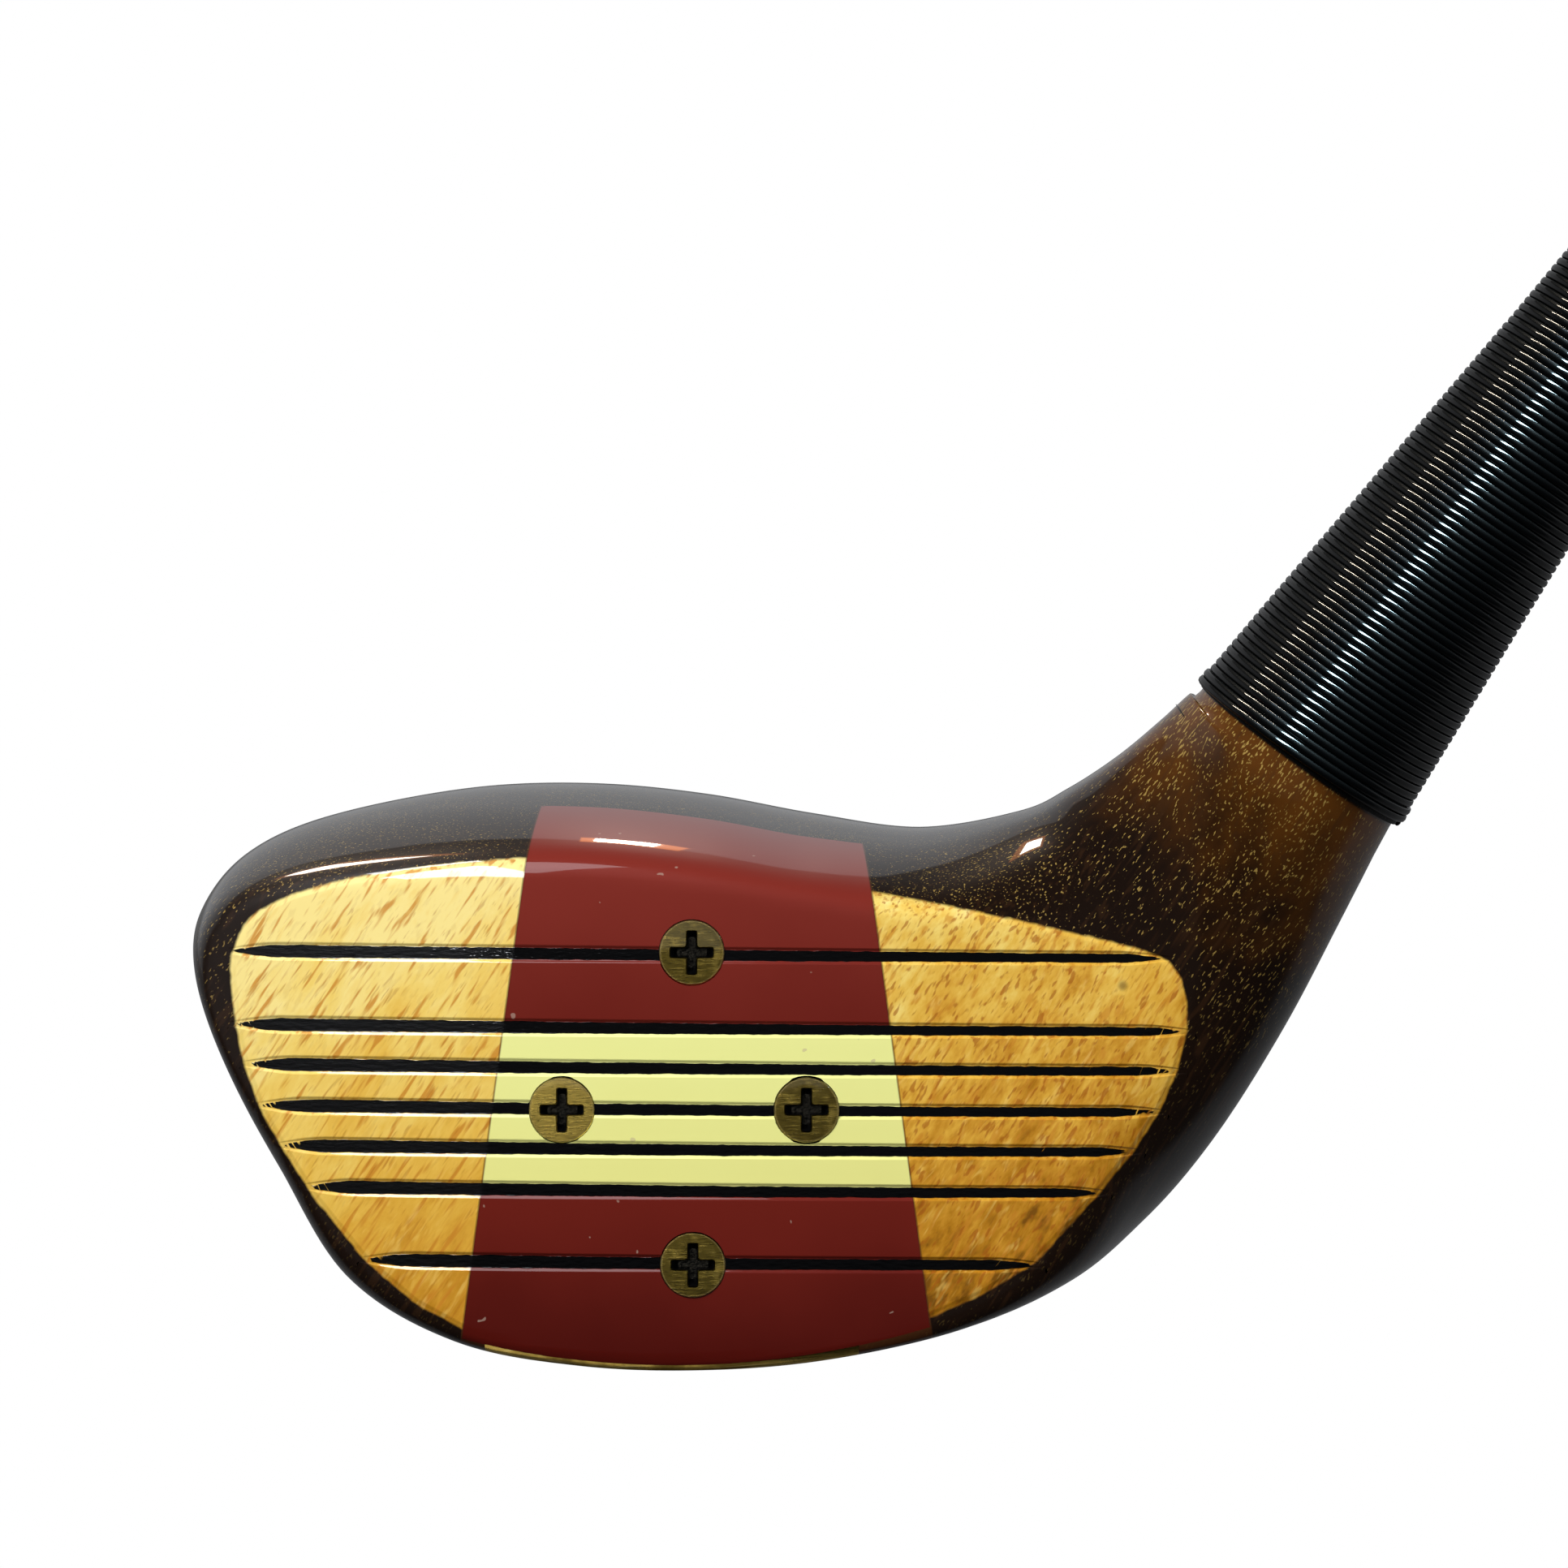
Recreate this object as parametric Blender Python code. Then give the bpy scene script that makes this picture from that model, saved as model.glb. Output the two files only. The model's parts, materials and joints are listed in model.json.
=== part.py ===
"""Golf driver: a wooden head with a screwed-in face insert, on a stepped steel shaft.

The club is held as at address. The sole rests on the ground plane z = 0, the origin
is the middle of the sole's flat land, +X runs from the toe to the heel and the shaft,
and the face looks towards -Y. Every size below is in millimetres times MM.
"""

import math

import bpy
from mathutils import Vector

MM = 0.001

# ---- driving dimensions -------------------------------------------------------------
LOFT = math.radians(10.5)
LIE = math.radians(55.0)
LEADING_EDGE_Y = -30.0
LEADING_EDGE_Z = 0.5
FACE_MIDDLE_Z = 21.0
BULGE_RADIUS = 254.0
ROLL_RADIUS = 280.0
FACE_EDGE_ROUNDING = 3.2

NECK_X = 49.1
NECK_Z = 47.7
NECK_Y = -15.0
NECK_LENGTH = 38.0
CLUB_LENGTH = 1092.0

INSERT_DEPTH = 6.4
INSERT_MIDDLE_X = 0.5
INSERT_BOTTOM_HALF_WIDTH = 19.2
INSERT_SIDE_LEAN = math.radians(7.67)
INSERT_BACK_LEAN = math.radians(7.9)
INSERT_JOINT_HEIGHTS = (14.4, 27.4)

SOLE_MIDDLE_X = -1.5
SOLE_CAMBER_RADIUS = 76.0
PLATE_FRONT_THICKNESS = 0.9
PLATE_RISE = 0.05
PLATE_HALF_WIDTH = 15.0
PLATE_STRAIGHT_BACK_Y = -8.0
PLATE_BACK_LENGTH = 24.0

SCREW_HEAD_RADIUS = 2.62
SCREW_HEAD_HEIGHT = 1.4
SCREW_SHANK_RADIUS = 1.4
SCREW_SUNK = 0.1
CROSS_LENGTH = 3.85
CROSS_WIDTH = 0.72
CROSS_DEPTH = 1.0
SCREW_RIM_HEIGHT = 0.2
SCREW_TIP_RADIUS = 0.35
SCREW_POINT_SHARE = 0.3

SHAFT_TIP_RADIUS = 4.25
SHAFT_BUTT_RADIUS = 7.62
SHAFT_WALL = 0.6
SHAFT_INSIDE_HEAD = 46.0
SHAFT_FIRST_STEP = 230.0
SHAFT_STEP_PITCH = 44.45
SHAFT_STEPS = 15
SHAFT_STEP_RAMP = 2.0

WHIPPING_LENGTH = 52.0
WHIPPING_THICKNESS = 0.5
FERRULE_END = 58.0
FERRULE_START_RADIUS = 6.3
FERRULE_END_RADIUS = 4.9
GRIP_LENGTH = 269.0
GRIP_CAP_HEIGHT = 7.7
GRIP_START_RADIUS = 8.9
GRIP_END_RADIUS = 12.3
WRAP_THICKNESS = 1.1
COLLAR_LENGTH = 9.0
COLLAR_LIP = 0.6
CAP_SWELL = 0.3
CAP_SWELL_HEIGHT = 2.5
CAP_SHOULDER = 1.2
CAP_END_INSET = 2.0
CAP_SCREW_LENGTH = 22.0
PLUG_LENGTH = 30.0

GAP = 0.3
THREAD_GAP = 0.15
BEYOND = 12.0
ABOVE_INSERT = 70.0
ROLL_HALF_LENGTH = 70.0
SOLE_CUT_LOW = -5.0
SOLE_CUT_HIGH = 9.0
SCREW_HOLE_RISE = 3.0
CROSS_RISE = 1.0
BORE_RISE = 5.0

RINGS_PER_RIB = 2
POINTS_PER_RING = 40
ROUND = 32
SCREW_ROUND = 16
SHAFT_ROUND = 24
ROLL_ROUND = 160
PLATE_END_STEPS = 20
SHARP_ANGLE = 32.0
FORM_SHARP_ANGLE = 40.0

# ---- values that follow from them ---------------------------------------------------
BELOW_NECK = NECK_Z / math.sin(LIE)
BUTT_END = CLUB_LENGTH - BELOW_NECK
SHAFT_END = BUTT_END - GRIP_CAP_HEIGHT - GAP
GRIP_START = BUTT_END - GRIP_LENGTH
AXIS_TURN = (0.0, math.pi / 2 - LIE, 0.0)
FACE_TURN = (-LOFT, 0.0, 0.0)

# One line for each rib of the head, from the toe to the neck. A rib is a closed loop
# that passes through a top point and a bottom point in the XZ plane and bellies out in
# Y: (top x, top z), (bottom x, bottom z), share of the height at which it is fullest,
# y of the crest, depth to the back, depth to the front at the top and at the bottom,
# squareness of the back at top and bottom, of the front at top and bottom, and how
# fully the face plane cuts it.
RIBS = (
    ((-41.2, 31.8), (-41.2, 31.8), 0.50, -10.0, 0.0, 0.0, 0.0, 2.0, 2.0, 2.0, 2.0, 1.0),
    ((-40.3, 35.2), (-39.9, 26.8), 0.50, -10.0, 11.0, 11.0, 10.5, 2.0, 2.0, 2.0, 2.0, 1.0),
    ((-37.7, 38.1), (-37.2, 20.5), 0.50, -9.0, 21.0, 20.0, 19.0, 2.0, 2.1, 2.1, 2.1, 1.0),
    ((-33.0, 40.3), (-33.4, 13.2), 0.50, -8.0, 29.0, 25.0, 24.5, 2.0, 2.2, 2.2, 2.2, 1.0),
    ((-25.5, 41.9), (-28.0, 5.2), 0.45, -6.5, 35.0, 29.0, 30.5, 2.1, 2.4, 2.3, 2.7, 1.0),
    ((-17.0, 42.8), (-19.2, 1.1), 0.42, -5.5, 39.0, 32.0, 36.0, 2.2, 2.7, 2.4, 3.4, 1.0),
    ((-8.0, 42.8), (-9.0, -0.2), 0.42, -5.0, 40.0, 32.5, 39.5, 2.2, 3.0, 2.5, 4.0, 1.0),
    ((1.0, 41.9), (1.0, -0.4), 0.42, -5.0, 39.5, 32.5, 41.0, 2.2, 3.0, 2.5, 4.0, 1.0),
    ((10.0, 40.4), (11.0, 0.4), 0.42, -5.5, 37.0, 31.5, 39.5, 2.2, 3.0, 2.5, 4.0, 1.0),
    ((19.0, 39.8), (21.6, 2.2), 0.44, -8.0, 33.0, 25.0, 34.0, 2.2, 2.7, 2.3, 3.4, 1.0),
    ((27.2, 42.1), (31.1, 4.9), 0.47, -11.0, 27.0, 15.0, 22.5, 2.1, 2.4, 2.1, 2.8, 1.0),
    ((31.0, 44.6), (37.3, 9.1), 0.50, -13.0, 22.0, 10.0, 15.0, 2.0, 2.2, 2.0, 2.1, 1.0),
    ((34.9, 47.7), (42.9, 16.0), 0.50, -14.3, 16.0, 9.0, 11.0, 2.0, 2.0, 2.0, 2.0, 0.8),
    ((38.3, 50.8), (48.5, 25.4), 0.50, -14.8, 12.3, 9.4, 10.0, 2.0, 2.0, 2.0, 2.0, 0.35),
    ((40.6, 53.0), (53.4, 35.3), 0.50, -15.0, 10.6, 9.6, 9.6, 2.0, 2.0, 2.0, 2.0, 0.0),
)
# Distance along the neck from the start of the thread, and the neck's radius there.
NECK_RADII = ((0.0, 9.45), (9.0, 8.75), (19.0, 7.9), (29.0, 7.1), (NECK_LENGTH, 6.35))

# Insert screws: name, x, height up the face.
INSERT_SCREWS = (
    ("top", 0.1, 33.5),
    ("toe", -10.3, 20.9),
    ("heel", 9.3, 20.9),
    ("bottom", 0.2, 8.5),
)
INSERT_SCREW_LENGTH = 16.0
# Sole screws: name, x, y.
SOLE_SCREWS = (
    ("front_toe", -11.4, -18.0),
    ("front_heel", 8.4, -18.0),
    ("middle_toe", -11.4, -4.0),
    ("middle_heel", 8.4, -4.0),
    ("back", -1.5, 11.5),
)
SOLE_SCREW_LENGTH = 14.0
WEIGHT_Y = 1.0
WEIGHT_RADIUS = 6.0
WEIGHT_HEIGHT = 10.0
PIN_ALONG_NECK = 14.0
PIN_RADIUS = 1.2
PIN_HALF_LENGTH = 8.0


# ---- helpers ------------------------------------------------------------------------
def clear_scene():
    for old in list(bpy.data.objects):
        bpy.data.objects.remove(old, do_unlink=True)


def linear(channel):
    if channel <= 0.04045:
        return channel / 12.92
    return ((channel + 0.055) / 1.055) ** 2.4


def make_material(name, colour, roughness, metallic=0.0, coat=0.0):
    """A Principled material from a hex colour."""
    material = bpy.data.materials.new(name)
    material.use_nodes = True
    shader = material.node_tree.nodes["Principled BSDF"]
    channels = [linear(int(colour[i : i + 2], 16) / 255) for i in (0, 2, 4)]
    shader.inputs["Base Color"].default_value = (*channels, 1.0)
    shader.inputs["Roughness"].default_value = roughness
    shader.inputs["Metallic"].default_value = metallic
    shader.inputs["Coat Weight"].default_value = coat
    return material


def add_mesh(name, points, faces, material=None):
    """An object from points in millimetres."""
    mesh = bpy.data.meshes.new(name)
    mesh.from_pydata([Vector(p) * MM for p in points], [], faces)
    if material:
        mesh.materials.append(material)
    obj = bpy.data.objects.new(name, mesh)
    bpy.context.scene.collection.objects.link(obj)
    return obj


def shade_round(obj, angle=SHARP_ANGLE):
    obj.data.shade_smooth()
    obj.data.set_sharp_from_angle(angle=math.radians(angle))


def place(obj, location=(0.0, 0.0, 0.0), turn=(0.0, 0.0, 0.0), parent=None):
    obj.location = Vector(location) * MM
    obj.rotation_euler = turn
    obj.parent = parent
    return obj


def add_empty(name, location, turn):
    empty = bpy.data.objects.new(name, None)
    bpy.context.scene.collection.objects.link(empty)
    return place(empty, location, turn)


def hide(obj):
    """Marks an object as a cutter or a guide."""
    obj.hide_render = True
    obj.display_type = "WIRE"
    return obj


def boolean(obj, tool, operation):
    modifier = obj.modifiers.new(tool.name, "BOOLEAN")
    modifier.object = tool
    modifier.operation = operation


def add_turned(name, profile, material=None, segments=ROUND, ring=False):
    """Turns a profile of (radius, z), given from bottom to top, about local Z.

    A ring's profile goes up the outside and down the inside, and joins its start.
    """
    points = []
    for radius, z in profile:
        for i in range(segments):
            angle = 2 * math.pi * i / segments
            points.append((radius * math.cos(angle), radius * math.sin(angle), z))
    faces = []
    rows = len(profile)
    for row in range(rows if ring else rows - 1):
        low = row * segments
        high = (row + 1) % rows * segments
        for i in range(segments):
            j = (i + 1) % segments
            faces.append((low + i, low + j, high + j, high + i))
    if not ring:
        faces.append(tuple(reversed(range(segments))))
        faces.append(tuple(range((rows - 1) * segments, rows * segments)))
    obj = add_mesh(name, points, faces, material)
    shade_round(obj)
    return obj


def add_prism(name, outline, low, high, material=None):
    """Extrudes an outline of (x, y), given anticlockwise, from z low to z high."""
    count = len(outline)
    points = [(x, y, low) for x, y in outline] + [(x, y, high) for x, y in outline]
    faces = [tuple(reversed(range(count))), tuple(range(count, 2 * count))]
    for i in range(count):
        j = (i + 1) % count
        faces.append((i, j, count + j, count + i))
    return add_mesh(name, points, faces, material)


def screw_profile(length):
    """A countersunk wood screw with its head's top at z = 0 and its tip below."""
    return (
        (SCREW_TIP_RADIUS, -length),
        (SCREW_SHANK_RADIUS, -length * (1 - SCREW_POINT_SHARE)),
        (SCREW_SHANK_RADIUS, -SCREW_HEAD_HEIGHT),
        (SCREW_HEAD_RADIUS, -SCREW_RIM_HEIGHT),
        (SCREW_HEAD_RADIUS, 0.0),
    )


def screw_hole_profile(length):
    """The hole for that screw, GAP wider all round and open above the head."""
    shank = SCREW_SHANK_RADIUS + GAP
    head = SCREW_HEAD_RADIUS + GAP
    return (
        (shank, -length - GAP),
        (shank, -SCREW_HEAD_HEIGHT - GAP),
        (head, -SCREW_RIM_HEIGHT - GAP),
        (head, SCREW_HOLE_RISE),
    )


def add_cross_cutter(name):
    """Two crossed bars as one outline, for the driver's recess."""
    long = CROSS_LENGTH / 2
    half = CROSS_WIDTH / 2
    outline = []
    for quarter in range(4):
        c, s = math.cos(quarter * math.pi / 2), math.sin(quarter * math.pi / 2)
        for x, y in ((long, -half), (long, half), (half, half)):
            outline.append((x * c - y * s, x * s + y * c))
    return hide(add_prism(name, outline, -CROSS_DEPTH, CROSS_RISE))


def add_screw(name, length, material, location, turn, parent=None):
    """A Phillips screw and the hole cutter that goes with it."""
    turned = add_turned(name, screw_profile(length), material, SCREW_ROUND)
    screw = place(turned, location, turn, parent)
    cross = place(add_cross_cutter(name + "_cross"), location, turn, parent)
    boolean(screw, cross, "DIFFERENCE")
    hole = hide(add_turned(name + "_hole", screw_hole_profile(length), segments=SCREW_ROUND))
    place(hole, location, turn, parent)
    return screw, hole


# ---- head form ----------------------------------------------------------------------
def neck_rib(along, radius):
    """A round rib square to the shaft's axis."""
    middle = Vector((NECK_X, NECK_Z)) + along * Vector((math.cos(LIE), math.sin(LIE)))
    across = radius * Vector((-math.sin(LIE), math.cos(LIE)))
    depths = (radius, radius, radius)
    return (*(middle + across), *(middle - across), 0.5, NECK_Y, *depths, 2.0, 2.0, 2.0, 2.0, 0.0)


def rib_table():
    body = [(*top, *bottom, *rest) for top, bottom, *rest in RIBS]
    return body + [neck_rib(along, radius) for along, radius in NECK_RADII]


def blended_ribs():
    """Catmull-Rom ribs between those of the table, without the toe's single point."""
    table = rib_table()
    first = table[1]
    mirrored = (*first[2:4], *first[0:2], *first[4:6], *(-d for d in first[6:9]), *first[9:])
    last = tuple(2 * b - a for a, b in zip(table[-2], table[-1]))
    guide = [mirrored, *table, last]
    ribs = []
    for i in range(len(table) - 1):
        for step in range(RINGS_PER_RIB):
            u = step / RINGS_PER_RIB
            rib = []
            for a, b, c, d in zip(*guide[i : i + 4]):
                bend = (2 * a - 5 * b + 4 * c - d) * u + (3 * b - a - 3 * c + d) * u * u
                rib.append(b + 0.5 * u * (c - a + bend))
            ribs.append(rib)
    return ribs[1:] + [list(table[-1])]


def face_y(x, z):
    """The face: a plane leaned back by the loft, with bulge across and roll upwards."""
    up = (z - FACE_MIDDLE_Z) / math.cos(LOFT)
    bulge = x * x / (2 * BULGE_RADIUS)
    roll = (up * up - FACE_MIDDLE_Z**2) / (2 * ROLL_RADIUS)
    return LEADING_EDGE_Y + z * math.tan(LOFT) + bulge + roll


def soft_max(a, b):
    """The larger of two, rounded over where they meet."""
    near = max(FACE_EDGE_ROUNDING - abs(a - b), 0.0) / FACE_EDGE_ROUNDING
    return max(a, b) + near * near * FACE_EDGE_ROUNDING / 4


def rib_point(rib, angle):
    """The point of a rib at an angle: 0 is its top, a quarter turn its back."""
    tx, tz, bx, bz, fullest, crest, back, front_t, front_b, sbt, sbb, sft, sfb, cut = rib
    c, s = math.cos(angle), math.sin(angle)
    upper = 0.5 + 0.5 * c
    if s >= 0:
        square = sbb + (sbt - sbb) * upper
        depth = back
    else:
        square = sfb + (sft - sfb) * upper
        depth = -(front_b + (front_t - front_b) * upper)
    level = abs(c) ** (2 / square)
    share = fullest + (1 - fullest) * level if c >= 0 else fullest * (1 - level)
    x = bx + (tx - bx) * share
    z = max(bz + (tz - bz) * share, 0.0)
    y = crest + depth * abs(s) ** (2 / square)
    return x, y + (soft_max(y, face_y(x, z)) - y) * cut, z


def head_form():
    """The outside of the head and neck: points and outward faces."""
    count = POINTS_PER_RING
    ribs = blended_ribs()
    toe = RIBS[0][0]
    points = [(toe[0], RIBS[0][3], toe[1])]
    for rib in ribs:
        points += [rib_point(rib, 2 * math.pi * i / count) for i in range(count)]
    faces = []
    for i in range(count):
        faces.append((0, 1 + i, 1 + (i + 1) % count))
    for row in range(len(ribs) - 1):
        low = 1 + row * count
        high = low + count
        for i in range(count):
            j = (i + 1) % count
            faces.append((low + i, high + i, high + j, low + j))
    end = 1 + (len(ribs) - 1) * count
    faces.append(tuple(end + i for i in reversed(range(count))))
    return points, faces


# ---- shared cutters -----------------------------------------------------------------
def add_camber_roll(name, raised):
    """A long roll whose underside runs above the sole: thin in front, thick behind."""
    radius = SOLE_CAMBER_RADIUS
    ends = ((radius, -ROLL_HALF_LENGTH), (radius, ROLL_HALF_LENGTH))
    roll = add_turned(name, ends, segments=ROLL_ROUND)
    low = PLATE_FRONT_THICKNESS + raised - LEADING_EDGE_Y * PLATE_RISE
    turn = (math.pi / 2 + math.atan(PLATE_RISE), 0.0, 0.0)
    return hide(place(roll, (SOLE_MIDDLE_X, 0.0, low + radius), turn))


def plate_outline(grow):
    """The sole plate's plan: open past the leading edge, round behind."""
    half = PLATE_HALF_WIDTH + grow
    length = PLATE_BACK_LENGTH + grow
    outline = [(SOLE_MIDDLE_X - half, LEADING_EDGE_Y - BEYOND)]
    outline.append((SOLE_MIDDLE_X + half, LEADING_EDGE_Y - BEYOND))
    for i in range(PLATE_END_STEPS + 1):
        angle = math.pi * i / PLATE_END_STEPS
        x = SOLE_MIDDLE_X + half * math.cos(angle)
        outline.append((x, PLATE_STRAIGHT_BACK_Y + length * math.sin(angle)))
    return outline


def insert_block(name, low, high, grow, material=None):
    """A slab of the insert in the face's own frame: leaning sides and a leaning back."""
    half_low = INSERT_BOTTOM_HALF_WIDTH - low * math.tan(INSERT_SIDE_LEAN) + grow
    half_high = INSERT_BOTTOM_HALF_WIDTH - high * math.tan(INSERT_SIDE_LEAN) + grow
    back_low = INSERT_DEPTH + low * math.tan(INSERT_BACK_LEAN) + grow
    back_high = INSERT_DEPTH + high * math.tan(INSERT_BACK_LEAN) + grow
    points = []
    for y_low, y_high in ((-BEYOND, -BEYOND), (back_low, back_high)):
        points.append((INSERT_MIDDLE_X - half_low, y_low, low))
        points.append((INSERT_MIDDLE_X + half_low, y_low, low))
        points.append((INSERT_MIDDLE_X + half_high, y_high, high))
        points.append((INSERT_MIDDLE_X - half_high, y_high, high))
    faces = [(0, 1, 2, 3), (7, 6, 5, 4), (0, 4, 5, 1), (1, 5, 6, 2), (2, 6, 7, 3), (3, 7, 4, 0)]
    return add_mesh(name, points, faces, material)


def add_bore(name, radius, low, high, axis):
    return hide(place(add_turned(name, ((radius, low), (radius, high))), parent=axis))


# ---- head and face insert -----------------------------------------------------------
def build_head(face_frame, axis, form):
    """The block of wood with its slot, sole recess, bore and weight hole."""
    wood = make_material("stained_wood", "2E1A0E", 0.25, coat=1.0)
    body = add_mesh("head_body", *head_form(), wood)
    shade_round(body, FORM_SHARP_ANGLE)

    slot = hide(insert_block("insert_slot", -BEYOND, ABOVE_INSERT, GAP))
    place(slot, parent=face_frame)
    boolean(slot, form["insert_foot"], "INTERSECT")
    boolean(body, slot, "DIFFERENCE")

    recess = hide(add_prism("sole_recess", plate_outline(GAP), SOLE_CUT_LOW, SOLE_CUT_HIGH))
    boolean(recess, form["recess_top"], "DIFFERENCE")
    boolean(body, recess, "DIFFERENCE")

    bottom = -SHAFT_INSIDE_HEAD - GAP
    bore = add_bore("shaft_bore", SHAFT_TIP_RADIUS + GAP, bottom, NECK_LENGTH + BORE_RISE, axis)
    boolean(body, bore, "DIFFERENCE")

    profile = ((WEIGHT_RADIUS + GAP, 0.0), (WEIGHT_RADIUS + GAP, weight_top() + GAP))
    weight_hole = hide(place(add_turned("weight_hole", profile), (SOLE_MIDDLE_X, WEIGHT_Y, 0.0)))
    boolean(body, weight_hole, "DIFFERENCE")
    return body


def weight_top():
    return plate_top(WEIGHT_Y) + GAP + WEIGHT_HEIGHT


def plate_top(y):
    """Height of the sole plate's upper side along its middle."""
    return PLATE_FRONT_THICKNESS + (y - LEADING_EDGE_Y) * PLATE_RISE


def build_insert(face_frame, form):
    """Three plastic slabs, one on another, that lap over the crown's edge."""
    red = make_material("red_plastic", "7A251E", 0.2, coat=0.6)
    cream = make_material("cream_plastic", "EFE48F", 0.2, coat=0.6)
    lower_joint, upper_joint = INSERT_JOINT_HEIGHTS
    slabs = (
        ("insert_lower", -BEYOND, lower_joint - GAP / 2, red),
        ("insert_centre", lower_joint + GAP / 2, upper_joint - GAP / 2, cream),
        ("insert_upper", upper_joint + GAP / 2, ABOVE_INSERT, red),
    )
    built = {}
    for name, low, high, material in slabs:
        slab = place(insert_block(name, low, high, 0.0, material), parent=face_frame)
        boolean(slab, form["head"], "INTERSECT")
        shade_round(slab, FORM_SHARP_ANGLE)
        built[name] = slab
    boolean(built["insert_lower"], form["insert_foot_raised"], "INTERSECT")
    return built


def build_insert_screws(face_frame, body, slabs):
    """Four brass screws in a diamond, square to the face and flush with it."""
    brass = make_material("screw_brass", "8A7A2A", 0.3, 1.0)
    holders = {
        "top": "insert_upper",
        "toe": "insert_centre",
        "heel": "insert_centre",
        "bottom": "insert_lower",
    }
    for name, x, height in INSERT_SCREWS:
        z = LEADING_EDGE_Z + height * math.cos(LOFT)
        plane_y = LEADING_EDGE_Y + height * math.sin(LOFT)
        sunk = (face_y(x, z) - plane_y) * math.cos(LOFT) + SCREW_SUNK
        turn = (math.pi / 2, 0.0, 0.0)
        where = (x, sunk, height)
        screw_name = "insert_screw_" + name
        hole = add_screw(screw_name, INSERT_SCREW_LENGTH, brass, where, turn, face_frame)[1]
        boolean(slabs[holders[name]], hole, "DIFFERENCE")
        boolean(body, hole, "DIFFERENCE")


# ---- sole ---------------------------------------------------------------------------
def build_sole(body, form):
    """The brass plate let into the sole, its five screws and the lead behind it."""
    brass = make_material("plate_brass", "8F7A34", 0.32, 1.0)
    plate = add_prism("sole_plate", plate_outline(0.0), SOLE_CUT_LOW, SOLE_CUT_HIGH, brass)
    boolean(plate, form["head"], "INTERSECT")
    boolean(plate, form["plate_top"], "DIFFERENCE")
    shade_round(plate, FORM_SHARP_ANGLE)

    screw_brass = make_material("sole_screw_brass", "8A7A2A", 0.3, 1.0)
    for name, x, y in SOLE_SCREWS:
        lean = math.asin((x - SOLE_MIDDLE_X) / SOLE_CAMBER_RADIUS)
        z = SOLE_CAMBER_RADIUS * (1 - math.cos(lean)) + SCREW_SUNK
        turn = (math.pi, -lean, 0.0)
        screw_name = "sole_screw_" + name
        hole = add_screw(screw_name, SOLE_SCREW_LENGTH, screw_brass, (x, y, z), turn)[1]
        boolean(plate, hole, "DIFFERENCE")
        boolean(body, hole, "DIFFERENCE")

    lead = make_material("lead", "6E7074", 0.6, 1.0)
    low = plate_top(WEIGHT_Y) + GAP
    profile = ((WEIGHT_RADIUS, low), (WEIGHT_RADIUS, weight_top()))
    place(add_turned("lead_weight", profile, lead), (SOLE_MIDDLE_X, WEIGHT_Y, 0.0))


# ---- shaft and neck fittings --------------------------------------------------------
def shaft_radius(along):
    """Outside radius of the stepped tube: each step adds the same amount."""
    rise = (SHAFT_BUTT_RADIUS - SHAFT_TIP_RADIUS) / SHAFT_STEPS
    radius = SHAFT_TIP_RADIUS
    for step in range(SHAFT_STEPS):
        past = (along - SHAFT_FIRST_STEP - step * SHAFT_STEP_PITCH) / SHAFT_STEP_RAMP
        radius += rise * min(max(past, 0.0), 1.0)
    return radius


def build_shaft(axis):
    """A drawn steel tube that grows towards the grip by steps."""
    steel = make_material("chromed_steel", "C9CCD0", 0.12, 1.0)
    stations = [-SHAFT_INSIDE_HEAD]
    for step in range(SHAFT_STEPS):
        start = SHAFT_FIRST_STEP + step * SHAFT_STEP_PITCH
        stations += [start, start + SHAFT_STEP_RAMP]
    stations.append(SHAFT_END)
    outside = [(shaft_radius(along), along) for along in stations]
    last_step = SHAFT_FIRST_STEP + (SHAFT_STEPS - 1) * SHAFT_STEP_PITCH
    inside = (
        (SHAFT_BUTT_RADIUS - SHAFT_WALL, SHAFT_END),
        (SHAFT_BUTT_RADIUS - SHAFT_WALL, last_step + SHAFT_STEP_PITCH),
        (SHAFT_TIP_RADIUS - SHAFT_WALL, SHAFT_FIRST_STEP),
        (SHAFT_TIP_RADIUS - SHAFT_WALL, -SHAFT_INSIDE_HEAD),
    )
    shaft = add_turned("shaft", (*outside, *inside), steel, SHAFT_ROUND, ring=True)
    return place(shaft, parent=axis)


def build_hosel_pin(axis, body, shaft):
    """A steel pin straight through the neck and the shaft, under the thread."""
    steel = make_material("pin_steel", "9A9C9E", 0.35, 1.0)
    turn = (math.pi / 2, 0.0, 0.0)
    where = (0.0, 0.0, PIN_ALONG_NECK)
    ends = ((PIN_RADIUS, -PIN_HALF_LENGTH), (PIN_RADIUS, PIN_HALF_LENGTH))
    pin = add_turned("hosel_pin", ends, steel, SCREW_ROUND)
    place(pin, where, turn, axis)
    radius = PIN_RADIUS + GAP
    ends = ((radius, -BEYOND), (radius, BEYOND))
    hole = hide(add_turned("pin_hole", ends, segments=SCREW_ROUND))
    place(hole, where, turn, axis)
    boolean(body, hole, "DIFFERENCE")
    boolean(shaft, hole, "DIFFERENCE")


def ferrule_radius(along):
    """Outside radius of the ferrule, a straight taper down to the shaft."""
    share = (along - NECK_LENGTH - GAP) / (FERRULE_END - NECK_LENGTH - GAP)
    return FERRULE_START_RADIUS + (FERRULE_END_RADIUS - FERRULE_START_RADIUS) * share


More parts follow.
